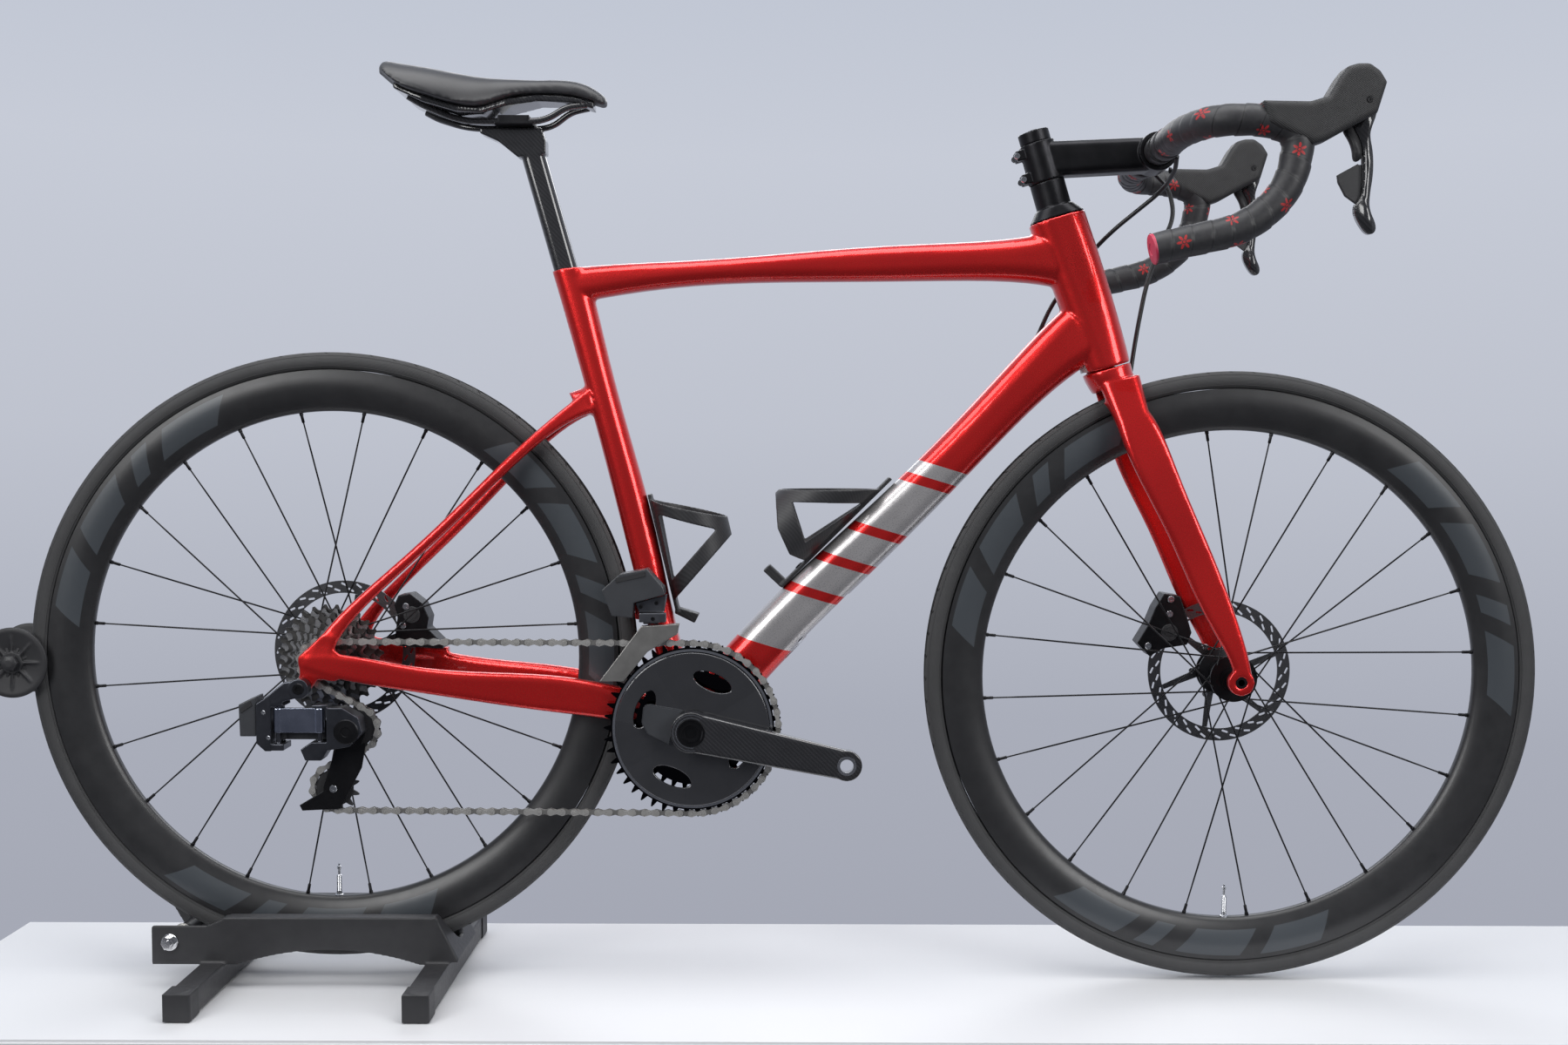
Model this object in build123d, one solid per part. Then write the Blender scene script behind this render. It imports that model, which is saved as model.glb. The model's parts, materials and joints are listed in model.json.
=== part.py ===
from build123d import *
import math
import os

os.makedirs("parts", exist_ok=True)

# Millimetres. X forward, Y to the rider's left, Z up. The layout below is written with the rear
# axle at X = 0, and every part is moved by ROW_SHIFT when it is saved, so that the origin is on
# the floor under the middle of the whole object. The drive side (chain, derailleurs) is at -Y.

# ---- driving dimensions ----
TYRE_RADIUS = 340.0
TYRE_SECTION = 14.0
RIM_OUTER = 316.5
RIM_INNER = 271.0
WHEELBASE = 990.0
REAR_LIFT = 21.2
BB_X = 400.0
BB_Z = 287.5
CRANK_LENGTH = 170.0
CRANK_DROP_DEG = 11.7
STEER_ANGLE_DEG = 73.7
SEAT_ANGLE_DEG = 74.3
BAR_X = 903.0
BAR_Z = 912.0
HUB_HALF_REAR = 71.0
HUB_HALF_FRONT = 50.0
CHAIN_Y_FRONT = -46.5
CHAIN_Y_REAR = -60.0
CHAIN_PITCH = 12.7
RING_TEETH = 46
SMALL_RING_TEETH = 33
COG_TEETH = [11, 12, 13, 14, 15, 16, 17, 19, 21, 24, 26, 28]
COG_PITCH = 3.6
PULLEY_TEETH = 12
SPOKES_PER_SIDE = 12
ROTOR_RADIUS = 80.0
ROLLER_X = -352.0
ROLLER_Z = 355.0
ROLLER_RADIUS = 39.0
SKIN_GAP = 0.3
RUN_FIT = 0.05

REAR_Z = TYRE_RADIUS + REAR_LIFT
FRONT_X = WHEELBASE
FRONT_Z = TYRE_RADIUS
ROW_SHIFT = -(FRONT_X + TYRE_RADIUS + ROLLER_X - ROLLER_RADIUS) / 2

STEER_TOP = (797.5, 842.6)
STEER_UP = (-math.cos(math.radians(STEER_ANGLE_DEG)), math.sin(math.radians(STEER_ANGLE_DEG)))
SEAT_UP = (-math.cos(math.radians(SEAT_ANGLE_DEG)), math.sin(math.radians(SEAT_ANGLE_DEG)))
GUIDE_PULLEY = (37.0, 289.0)
TENSION_PULLEY = (14.0, 225.0)
HANGER_BOLT = (-14.5, 337.0)
STAND_PIVOT = (-172.6, 51.5)


# ---- small helpers ----
def save(name, shape):
    solids = shape.solids()
    moved = Pos(ROW_SHIFT, 0, 0) * (solids[0] if len(solids) == 1 else Compound(list(solids)))
    export_step(moved, "parts/" + name + ".step")
    print(name, round(sum(s.volume for s in solids)), "mm3,", len(solids), "solids")


def across(sketch, y_low, y_high):
    """A side-view sketch (x forward, y up) given thickness across the bike."""
    solid = extrude(sketch, amount=y_high - y_low, dir=(0, 0, 1))
    return Plane(origin=(0, y_high, 0), x_dir=(1, 0, 0), z_dir=(0, -1, 0)) * solid


def plate(points, y_low, y_high):
    return across(Polygon(*points, align=None), y_low, y_high)


def disc(x, z, radius, y_low, y_high):
    return across(Pos(x, z) * Circle(radius), y_low, y_high)


def ring(x, z, outer, inner, y_low, y_high):
    return across(Pos(x, z) * (Circle(outer) - Circle(inner)), y_low, y_high)


def hexagon(x, z, flats, y_low, y_high):
    return across(Pos(x, z) * RegularPolygon(flats / 2, 6, major_radius=False), y_low, y_high)


def rod(start, end, radius):
    run = Vector(*end) - Vector(*start)
    base = Plane(origin=start, z_dir=run)
    return base * Cylinder(radius, run.length, align=(Align.CENTER, Align.CENTER, Align.MIN))


def bar(start, end, width, depth):
    """A rectangular bar between two points, its width across the bike."""
    run = Vector(*end) - Vector(*start)
    base = Plane(origin=start, x_dir=(0, 1, 0), z_dir=run)
    return base * Box(width, depth, run.length, align=(Align.CENTER, Align.CENTER, Align.MIN))


def lens(start, end, radius_a, radius_b, y_low, y_high):
    """A flat link: two round ends joined by straight sides."""
    run = Vector(end[0] - start[0], end[1] - start[1])
    side = Vector(-run.Y, run.X).normalized()
    corners = [
        (start[0] + side.X * radius_a, start[1] + side.Y * radius_a),
        (end[0] + side.X * radius_b, end[1] + side.Y * radius_b),
        (end[0] - side.X * radius_b, end[1] - side.Y * radius_b),
        (start[0] - side.X * radius_a, start[1] - side.Y * radius_a),
    ]
    sketch = Polygon(*corners, align=None)
    sketch += Pos(*start) * Circle(radius_a)
    sketch += Pos(*end) * Circle(radius_b)
    return across(sketch, y_low, y_high)


def station(upper, lower, y, width, roundness=0.45, shrink=0.0):
    """A rounded section spanning an upper and a lower point of the side view."""
    up = Vector(upper[0] - lower[0], 0, upper[1] - lower[1])
    middle = ((upper[0] + lower[0]) / 2, y, (upper[1] + lower[1]) / 2)
    height = up.length - 2 * shrink
    wide = width - 2 * shrink
    base = Plane(origin=middle, x_dir=(0, 1, 0), z_dir=Vector(0, 1, 0).cross(up))
    radius = min(height, wide) * roundness
    return (base * RectangleRounded(wide, height, radius)).face()


def tube(stations, shrink=0.0, ruled=False):
    return loft([station(*s, shrink=shrink) for s in stations], ruled=ruled)


def spun(profile, x, z):
    """A profile of (radius, y) points spun about an axle across the bike."""
    return Pos(x, 0, z) * revolve(Polygon(*profile, align=None), axis=Axis.Y)


def on_steerer(distance, y=0.0, forward=0.0):
    """A point on the steering axis, with an offset square to it towards the front."""
    x = STEER_TOP[0] + STEER_UP[0] * distance + STEER_UP[1] * forward
    z = STEER_TOP[1] + STEER_UP[1] * distance - STEER_UP[0] * forward
    return (x, y, z)


def steerer_plane(distance):
    return Plane(origin=on_steerer(distance), x_dir=(0, 1, 0), z_dir=(STEER_UP[0], 0, STEER_UP[1]))


def mirrored(shape):
    return mirror(shape, about=Plane.XZ)


def both_sides(shape):
    return shape + mirrored(shape)


def pitch_radius(teeth):
    return CHAIN_PITCH / 2 / math.sin(math.pi / teeth)


def sprocket(x, z, teeth, y, thickness, bore, phase_deg=0.0, tip=3.4):
    """Teeth as straight-sided cusps whose gaps leave room for the chain's rollers."""
    radius = pitch_radius(teeth)
    points = []
    for tooth in range(teeth):
        middle = math.radians(phase_deg) + 2 * math.pi * tooth / teeth
        for height, half in ((-4.3, -3.1), (0, -1.9), (tip, -0.7), (tip, 0.7), (0, 1.9), (-4.3, 3.1)):
            r = radius + height
            angle = middle + half / r
            points.append((x + r * math.cos(angle), z + r * math.sin(angle)))
    sketch = Polygon(*points, align=None) - Pos(x, z) * Circle(bore)
    return across(sketch, y - thickness / 2, y + thickness / 2)


# ---- floor stand ----
FOOT_X = (-126.0, 121.0)
FOOT_HALF_LENGTH = 152.0
FOOT_TUBE = 26.0
FOOT_CAP = 29.0
PAD_HEIGHT = 1.0
PLATE_Y = 47.0
PLATE_THICK = 3.0
FLANGE_Z = 79.0


def make_stand_base():
    outline = Line((-193, 27), (-193, 66)) + ThreePointArc((-193, 66), (-191.8, 68.8), (-189, 70))
    outline += Polyline((-189, 70), (-132, 70), (-110, FLANGE_Z), (117, FLANGE_Z), (121, 66), (121, 27),
                        (100, 27))
    outline += ThreePointArc((100, 27), (8, 43), (-98, 27)) + Line((-98, 27), (-193, 27))
    side = across(make_face(outline), PLATE_Y, PLATE_Y + PLATE_THICK)
    flange = Pos(3.5, PLATE_Y - 6, FLANGE_Z - 1.5) * Box(227, 15, 3)
    for hem_x in (-112.0, 118.0):
        side += disc(hem_x, FLANGE_Z - 4.4, 4, PLATE_Y - 11, PLATE_Y + PLATE_THICK)
    base = both_sides(side + flange)
    for foot_x in FOOT_X:
        foot = Box(FOOT_TUBE, 2 * FOOT_HALF_LENGTH, FOOT_TUBE) - Box(FOOT_TUBE - 4, 400, FOOT_TUBE - 4)
        base += Pos(foot_x, 0, PAD_HEIGHT + FOOT_CAP / 2) * foot
    # slanted cradle plate with a notch that the tyre sits in
    notch = Polygon((-60, 31), (60, 31), (60, 84), (40, 84), (15, 49), (7, 44), (-7, 44), (-15, 49),
                    (-40, 84), (-60, 84), align=None)
    facing = Plane(origin=(-200, 0, 0), x_dir=(0, 1, 0), z_dir=(1, 0, 0)) * extrude(notch, amount=600)
    slope = plate([(113, 77.3), (118.6, 80.9), (144.5, 30), (141.2, 28.3)], -PLATE_Y - 2, PLATE_Y + 2)
    base += slope & facing
    gusset = plate([(114, 76), (119, 78.4), (143, 30), (118, 29)], PLATE_Y, PLATE_Y + PLATE_THICK)
    base += both_sides(gusset)
    for sign in (-1, 1):
        middle = sign * (PLATE_Y + PLATE_THICK / 2)
        base -= disc(STAND_PIVOT[0], STAND_PIVOT[1], 4.2, middle - 4, middle + 4)
    return base


def make_stand_caps():
    caps = []
    middle_z = PAD_HEIGHT + FOOT_CAP / 2
    for foot_x in FOOT_X:
        for sign in (-1, 1):
            cap = Pos(foot_x, sign * 142, middle_z) * Box(FOOT_CAP, 28, FOOT_CAP)
            cap -= Pos(foot_x, 0, middle_z) * Box(FOOT_TUBE + 0.1, 2 * FOOT_HALF_LENGTH + 0.1,
                                                  FOOT_TUBE + 0.1)
            cap += Pos(foot_x, sign * 145, PAD_HEIGHT / 2) * Cylinder(9.4, PAD_HEIGHT)
            cap += Pos(foot_x, sign * 145, PAD_HEIGHT * 1.5 + FOOT_CAP) * Cylinder(9.4, PAD_HEIGHT)
            caps.append(cap)
    return Compound(caps)


def make_stand_bolt():
    x, z = STAND_PIVOT
    bolt = disc(x, z, 4.0, -60, 56)
    bolt += hexagon(x, z, 13, PLATE_Y + PLATE_THICK, 56)
    bolt += hexagon(x, z, 13, -57, -PLATE_Y - PLATE_THICK)
    return bolt


def make_stand_spring():
    path = Helix(pitch=3.2, height=25.6, radius=8.5)
    wire = Plane(origin=path @ 0, z_dir=path % 0) * Circle(1.3)
    coil = sweep(wire, path=path)
    return Pos(STAND_PIVOT[0], -12, STAND_PIVOT[1]) * Rot(90, 0, 0) * coil


ARM_Y = (30.0, 36.0)
ROLLER_AXLE_RADIUS = 5.0


def make_stand_arm():
    x, z = STAND_PIVOT
    arm = ring(x, z, 7.5, 4.0 + RUN_FIT, -7, 43)
    arm += lens(STAND_PIVOT, (ROLLER_X, ROLLER_Z), 14, 13, *ARM_Y)
    arm -= disc(x, z, 4.0 + RUN_FIT, -20, 60)
    return arm


def make_roller_axle():
    axle = disc(ROLLER_X, ROLLER_Z, ROLLER_AXLE_RADIUS, -31, 42)
    axle += hexagon(ROLLER_X, ROLLER_Z, 16, -30, -24.5)
    axle += hexagon(ROLLER_X, ROLLER_Z, 16, ARM_Y[1], 42)
    return axle


def make_roller():
    """A hub between two ribbed, flared flanges that straddle the tyre."""
    half = [(5 + RUN_FIT, 0), (11.5, 0), (11.5, 15.5), (ROLLER_RADIUS - 3, 19), (ROLLER_RADIUS, 20),
            (ROLLER_RADIUS, 23.5), (ROLLER_RADIUS - 4, 24), (12, 20), (12, 24), (5 + RUN_FIT, 24)]
    roller = spun(half, ROLLER_X, ROLLER_Z)
    for rib in range(8):
        turn = Rot(0, 45 * rib, 0) * (Pos(22, 21.5, 0) * Box(26, 4, 2.4))
        roller += Pos(ROLLER_X, 0, ROLLER_Z) * turn
    roller = both_sides(roller)
    return roller - disc(ROLLER_X, ROLLER_Z, 5 + RUN_FIT, -40, 40)


# ---- frame ----
TOP_TUBE = [((262, 788), (268, 750), 0, 34), ((342, 794), (344, 763), 0, 36), ((499, 804), (499, 773), 0, 35),
            ((690, 816), (690, 774.5), 0, 38), ((768, 823), (764, 772), 0, 42),
            ((800, 830), (792, 768), 0, 42)]
DOWN_TUBE = [((803, 742), (850, 694), 0, 46), ((779, 719), (818, 673), 0, 48),
             ((703, 637), (739, 601), 0, 46),
             ((585, 520), (624, 482), 0, 44), ((438, 375), (479, 334.5), 0, 46),
             ((388, 318), (424, 272), 0, 50)]
SEAT_TUBE = [((374, 312), (410, 318), 0, 44), ((346, 402), (376, 409), 0, 36),
             ((332, 456), (364.5, 465), 0, 35),
             ((300, 583), (332.5, 592), 0, 34),
             ((279, 662), (311, 671), 0, 34), ((243, 790), (279, 796), 0, 34)]
HEAD_TUBE = [((827.2, 671.6), (877.9, 686.4), 0, 52), ((801, 745), (858, 757), 0, 47),
             ((767, 833.5), (826.6, 851), 0, 48)]
# the head tube's lower face, measured down the steerer from its top
HEAD_LOW = -172.5
CHAIN_STAY = [((-12, 371), (-12, 356), -75, 8), ((25, 372), (25, 345), -75, 8),
              ((80, 362), (80, 334), -69, 12),
              ((180, 349), (180, 315), -49, 15), ((300, 335), (300, 296), -30.5, 17),
              ((388, 316), (388, 268), -23, 20)]
SEAT_STAY = [((-16, 360), (18, 366), -75, 8), ((12, 400), (27, 392), -72, 9),
             ((90, 475), (98.5, 467), -56, 11),
             ((170, 553), (178, 544), -39, 12), ((230, 611), (240, 602), -25, 13),
             ((282, 655), (290, 630), -10, 13)]
WALL = 3.0
POST_DEPTH = 26.0
POST_WIDTH = 23.0
POST_BOTTOM = 690.0
POST_POCKET = 672.0


def seat_axis(z):
    return BB_X + (z - BB_Z) * SEAT_UP[0] / SEAT_UP[1]


def post_prism(z_low, z_high, extra):
    """The seatpost's rounded section run along the seat tube's axis."""
    base = Plane(origin=(seat_axis(z_low), 0, z_low), x_dir=(0, 1, 0), z_dir=(SEAT_UP[0], 0, SEAT_UP[1]))
    sketch = RectangleRounded(POST_WIDTH + 2 * extra, POST_DEPTH + 2 * extra, 9 + extra)
    return base * extrude(sketch, amount=(z_high - z_low) / SEAT_UP[1])


def bb_shell():
    return disc(BB_X, BB_Z, 26, -34, 34)


# outline of the plate that joins the two stays around the axle
DROPOUT = [(-17, 348), (20, 342.5), (30, 350), (27, 371), (17, 377.5), (22, 391), (8, 394), (-19.5, 368.4)]


def rear_end():
    """One chainstay, seatstay and dropout, on the drive side."""
    side = tube(CHAIN_STAY) + tube(SEAT_STAY)
    side += plate(DROPOUT, -78, -HUB_HALF_REAR)
    return side


def make_frame():
    frame = tube(HEAD_TUBE) + tube(TOP_TUBE) + tube(DOWN_TUBE) + tube(SEAT_TUBE) + bb_shell()
    frame += both_sides(rear_end())
    frame += lens((-3, 356), HANGER_BOLT, 10, 8.5, -77.5, -HUB_HALF_REAR)
    # seatstay bridge block behind the seat tube, above the tyre
    frame += tube([((262, 652), (278, 628), 0, 30), ((284, 660), (292, 628), 0, 34)])
    # mount for the rear calliper on the left chainstay
    frame += plate([(66, 352), (66, 366), (112, 362), (112, 350)], 58, 72)
    # bracket behind the seat tube that the front derailleur bolts to
    frame += plate([(336, 404), (336, 432), (346, 432), (352, 404)], -29, -10)
    # hollows
    frame -= tube(TOP_TUBE[1:5], shrink=WALL)
    frame -= tube(DOWN_TUBE[1:5], shrink=WALL)
    frame -= tube(SEAT_TUBE[1:5], shrink=WALL + 1)
    # bores
    frame -= disc(BB_X, BB_Z, 20.5, -60, 60)
    # the axle screws into a blind hole on the drive side
    frame -= disc(0, REAR_Z, 6.1, -76.2, 90)
    frame -= disc(HANGER_BOLT[0], HANGER_BOLT[1], 5.1, -90, -60)
    frame -= steerer_plane(-200) * Cylinder(21, 260, align=(Align.CENTER, Align.CENTER, Align.MIN))
    frame -= post_prism(POST_POCKET, 830, 0.06)
    # clear faces for the bearing cups and the rear hub
    for y_low, y_high in ((-60, -34), (34, 60)):
        frame -= disc(BB_X, BB_Z, 26, y_low, y_high)
    frame -= disc(0, REAR_Z, 22, -HUB_HALF_REAR, HUB_HALF_REAR)
    # level the faces that the fork, the headset cover and the seatpost collar sit on
    frame -= steerer_plane(0) * Pos(0, 0, 50) * Box(80, 90, 100)
    frame -= steerer_plane(HEAD_LOW) * Pos(0, 0, -50) * Box(80, 70, 100)
    top_cut = Plane(origin=(259, 0, 787.2), x_dir=(0, 1, 0), z_dir=(-0.12, 0, 1))
    frame -= top_cut * Pos(0, 0, 15) * Box(50, 44, 30)
    # slot where the rear brake hose goes in
    frame -= rod((789, 20, 734), (764, 10, 690), 4.6)
    return frame


def make_headset_bearings():
    rings = []
    for low in (HEAD_LOW + 2, -14.0):
        blank = Cylinder(21, 12) - Cylinder(14.3 + RUN_FIT, 12)
        rings.append(steerer_plane(low + 6) * blank)
    return Compound(rings)


def make_bb_bearings():
    one = ring(BB_X, BB_Z, 20.5, 12 + RUN_FIT, -34, -24) + ring(BB_X, BB_Z, 22, 12 + RUN_FIT, -37, -34)
    return Compound([one, mirrored(one)])


# ---- bottle cages ----
BOTTLE_RADIUS = 37.0
SEAT_CAGE_RUN = (-0.2313, 0.9729)
DOWN_CAGE_RUN = (0.7102, 0.704)
CAGE_WALL = 2.5


def make_cage(foot, along, out, loop, tooth, plate_length):
    """A side-entry cage: back plate, two wrapping arms and a toe under the bottle."""
    run = Vector(along[0], 0, along[1]).normalized()
    away = Vector(out[0], 0, out[1]).normalized()
    start = Vector(foot[0], 0, foot[1])
    centre = start + away * (BOTTLE_RADIUS + CAGE_WALL)
    axis = Plane(origin=centre - run * 60, x_dir=(0, 1, 0), z_dir=run)
    sleeve = Cylinder(BOTTLE_RADIUS + CAGE_WALL, 320, align=(Align.CENTER, Align.CENTER, Align.MIN))
    sleeve -= Cylinder(BOTTLE_RADIUS, 320, align=(Align.CENTER, Align.CENTER, Align.MIN))
    window = Polygon(*loop[0], align=None) - Polygon(*loop[1], align=None)
    arms = (axis * sleeve) & across(window, -60, 60)
    back_base = Plane(origin=start + away * 1.2, x_dir=(0, 1, 0), z_dir=run)
    back = back_base * Pos(0, 0, plate_length / 2) * Box(22, 2 * CAGE_WALL - 1, plate_length)
    toe = plate(tooth, -9, 9)
    return arms + back + toe


SEAT_CAGE_LOOP = ([(336, 540), (364, 531), (437, 516), (441, 496), (378, 424), (364, 436)],
                  [(362, 519), (425, 503), (376, 447)])
DOWN_CAGE_LOOP = ([(489, 546), (612, 546), (612, 517), (530, 464), (505, 476), (492, 505)],
                  [(508, 533), (585, 531), (522, 489)])


def make_seat_cage():
    toe = [(379, 416), (405, 408), (400, 398), (378, 409)]
    return make_cage((380.5, 409), SEAT_CAGE_RUN, (SEAT_CAGE_RUN[1], -SEAT_CAGE_RUN[0]), SEAT_CAGE_LOOP,
                     toe, 135)


def make_down_cage():
    toe = [(495, 438), (476, 456), (483, 463), (502, 445)]
    return make_cage((496.3, 437.8), DOWN_CAGE_RUN, (-DOWN_CAGE_RUN[1], DOWN_CAGE_RUN[0]), DOWN_CAGE_LOOP,
                     toe, 170)


# ---- seatpost and saddle ----
HEAD_TOP = 940.0
RAIL_Y = 21.5
RAIL_Z = 944.5
RAIL_RADIUS = 3.5


def make_seatpost():
    post = post_prism(POST_BOTTOM, 922, 0)
    head = plate([(209, 908), (239.5, 912), (239.5, 926), (235, HEAD_TOP), (168, HEAD_TOP), (168, 934),
                  (188, 925)],
                 -POST_WIDTH / 2, POST_WIDTH / 2)
    return post + head


def make_saddle_clamp():
    low = HEAD_TOP + 0.2
    clamp = plate([(186, low), (228, low), (228, RAIL_Z - 0.3), (186, RAIL_Z - 0.3)], -26, 26)
    clamp += plate([(190, RAIL_Z + 0.3), (224, RAIL_Z + 0.3), (224, RAIL_Z + 6), (190, RAIL_Z + 6)], -26, 26)
    clamp += rod((207, 0, low), (207, 0, RAIL_Z + 6.8), 4)
    for y in (-RAIL_Y, RAIL_Y):
        clamp -= rod((160, y, RAIL_Z), (250, y, RAIL_Z), RAIL_RADIUS + 0.1)
    return clamp


RAIL_ROUTE = [(98, 46, 966.5), (112, 40, 958.5), (150, RAIL_Y, RAIL_Z), (240, RAIL_Y, RAIL_Z),
              (264, 15, 961), (284, 9, 964)]


def soft_corners(points, share=0.45):
    """Fillet radii for a route: as large as the shorter run at each corner leaves room for."""
    radii = []
    for before, corner, after in zip(points, points[1:], points[2:]):
        run_in = Vector(*corner) - Vector(*before)
        run_out = Vector(*after) - Vector(*corner)
        half_turn = math.radians(run_in.get_angle(run_out)) / 2
        radii.append(share * min(run_in.length, run_out.length) / math.tan(half_turn))
    return radii


def piped(points, radius):
    path = FilletPolyline(*points, radius=soft_corners(points))
    start = Plane(origin=path @ 0, z_dir=path % 0)
    pipe = sweep(start * Circle(radius), path=path)
    print("  route", round(path.length), "mm, radii", [round(r) for r in soft_corners(points)],
          "volume ratio", round(pipe.volume / (math.pi * radius * radius * path.length), 4))
    return pipe


def make_saddle_rails():
    one = piped(RAIL_ROUTE, RAIL_RADIUS)
    return Compound([one, mirrored(one)])


# each slice of the saddle: place along X, half width, top height, lower edge of the cover
SADDLE_SLICES = [(66, 42, 1003, 988), (84, 68, 1004.5, 981), (116, 72, 1000, 966), (150, 64, 995, 957),
                 (175, 50, 992.5, 957.5), (200, 36, 991.5, 968), (232, 25, 991.5, 974), (268, 19, 991, 973),
                 (292, 16, 983, 967), (306, 10, 972, 964)]
SHELL_DEPTH = 7.0


def saddle_slice(x, half, top, low):
    """A crowned arch closed by a flat underside."""
    crown = Spline((-half, low), (-half * 0.72, top - (top - low) * 0.18), (0, top),
                   (half * 0.72, top - (top - low) * 0.18),
                   (half, low))
    face = make_face(crown + Line((half, low), (-half, low)))
    return (Plane(origin=(x, 0, 0), x_dir=(0, 1, 0), z_dir=(1, 0, 0)) * face).face()


def make_saddle_cover():
    cover = loft([saddle_slice(*s) for s in SADDLE_SLICES])
    relief = Pos(165, 0, 1000) * Box(150, 18, 26)
    return cover - relief


def make_saddle_shell():
    """The stiff base under the cover, with sockets for the rails' ends."""
    slices = []
    for x, half, top, low in SADDLE_SLICES[1:9]:
        width = half * 0.82
        face = Plane(origin=(x, 0, 0), x_dir=(0, 1, 0), z_dir=(1, 0, 0)) * Pos(0, low - 0.4 - SHELL_DEPTH / 2)
        slices.append((face * Rectangle(2 * width, SHELL_DEPTH)).face())
    shell = loft(slices, ruled=True)
    shell -= loft([saddle_slice(s[0], s[1] + 3, s[2], s[3] - 0.2) for s in SADDLE_SLICES])
    socket = piped(RAIL_ROUTE, RAIL_RADIUS + 0.1)
    shell -= both_sides(socket)
    shell -= Pos(207, 0, 948) * Box(50, 60, 8.5)
    return shell.solids().sort_by(SortBy.VOLUME)[-1]


# ---- cranks and rings ----
CRANK_ARM_Y = (-79.0, -66.0)
SPINDLE_RADIUS = 12.0
SPINDLE_BORE = 9.5


def crank_end(sign):
    """Pedal-hole centre of the crank arm that points forward (1) or back (-1)."""
    drop = math.radians(CRANK_DROP_DEG)
    return (BB_X + sign * CRANK_LENGTH * math.cos(drop), BB_Z - sign * CRANK_LENGTH * math.sin(drop))


def crank_arm(sign, y_root, y_tip):
    """A hollow-looking carbon arm: thick at the axle, slim at the pedal, dished outward."""
    tip = crank_end(sign)
    run = Vector(tip[0] - BB_X, 0, tip[1] - BB_Z).normalized()
    start = Vector(BB_X, 0, BB_Z)
    sections = []
    stations = ((3, 43, y_root[1], y_root[0]), (60, 39, y_root[1] - 3, y_root[0] - 2),
                (CRANK_LENGTH - 3, 32.4, y_tip[1], y_tip[0]))
    for along, width, inner, outer in stations:
        centre = start + run * along + Vector(0, (inner + outer) / 2, 0)
        plane = Plane(origin=centre, x_dir=(0, 1, 0), z_dir=run)
        sections.append((plane * RectangleRounded(inner - outer, width, 4)).face())
    arm = loft(sections)
    arm += disc(BB_X, BB_Z, 22, y_root[0], y_root[1])
    arm += disc(tip[0], tip[1], 16.5, y_tip[0], y_tip[1])
    return arm, tip


PEDAL_THREAD_RADIUS = 7.14


def make_crank_right():
    arm, tip = crank_arm(1, (-74, -56), CRANK_ARM_Y)
    arm -= disc(tip[0], tip[1], PEDAL_THREAD_RADIUS, -90, -60)
    arm -= disc(BB_X, BB_Z, SPINDLE_BORE, -80, -50)
    spindle = ring(BB_X, BB_Z, SPINDLE_RADIUS, SPINDLE_BORE, -55.9, 56)
    return Compound([arm, spindle])


def make_crank_left():
    arm, tip = crank_arm(-1, (-74, -56), CRANK_ARM_Y)
    arm = arm - disc(tip[0], tip[1], PEDAL_THREAD_RADIUS, -90, -60)
    arm = mirrored(arm)
    return arm - disc(BB_X, BB_Z, SPINDLE_RADIUS + 0.02, 50, 57) - disc(BB_X, BB_Z, SPINDLE_BORE, 50, 80)


SPIDER_ARMS = 4
FIRST_ARM_DEG = 22.0
BOLT_CIRCLE = 53.5


def spider_angle(arm):
    return math.radians(FIRST_ARM_DEG + 360 / SPIDER_ARMS * arm)


def ring_bolt(arm):
    angle = spider_angle(arm)
    return (BB_X + BOLT_CIRCLE * math.cos(angle), BB_Z + BOLT_CIRCLE * math.sin(angle))


def make_spider():
    spider = ring(BB_X, BB_Z, 30, SPINDLE_RADIUS + 0.02, -55.8, -44)
    for arm in range(SPIDER_ARMS):
        tip = ring_bolt(arm)
        spider += lens((BB_X, BB_Z), tip, 20, 8, -53, -48.2) - disc(BB_X, BB_Z, 25, -60, -40)
        spider -= disc(tip[0], tip[1], 5.1, -60, -40)
    # power meter housing
    spider += plate([(346, 308), (388, 309), (392, 276), (349, 281)], -58, -53) - disc(BB_X, BB_Z, 24, -60,
                                                                                       -40)
    for arm in range(SPIDER_ARMS):
        spider -= disc(*ring_bolt(arm), 6.8, -60, -53)
    return spider


def make_ring_large():
    """Toothed outer ring with an aero web, windows cut through it between the bolts."""
    y = CHAIN_Y_FRONT
    body = sprocket(BB_X, BB_Z, RING_TEETH, y, 1.8, 45, RING_PHASE)
    body += ring(BB_X, BB_Z, 87.5, 45, -48, y + 0.9)
    for arm in range(SPIDER_ARMS):
        angle = spider_angle(arm + 0.5)
        window = Pos(BB_X, BB_Z) * Rot(0, 0, math.degrees(angle)) * Pos(56, 0) * Ellipse(10.8, 23)
        body -= across(window, -60, -40)
        body -= disc(*ring_bolt(arm), 5.1, -60, -40)
    return body


def make_ring_small():
    body = sprocket(BB_X, BB_Z, SMALL_RING_TEETH, -39.5, 1.8, 46, 0)
    for arm in range(SPIDER_ARMS):
        body += disc(*ring_bolt(arm), 9, -45.5, -38.6)
    for arm in range(SPIDER_ARMS):
        body -= disc(*ring_bolt(arm), 5.1, -60, -30)
    return body


def make_ring_bolts():
    bolts = []
    for arm in range(SPIDER_ARMS):
        x, z = ring_bolt(arm)
        bolts.append(disc(x, z, 5, -53.2, -38.6) + disc(x, z, 6.5, -54.5, -53.05))
    return Compound(bolts)


# ---- chain ----
CHAIN_INNER = 1.25
CHAIN_OUTER = 2.3
CHAIN_HALF_HEIGHT = 4.1
RING_STUB = 32.0
COG_STUB = 14.0


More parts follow.
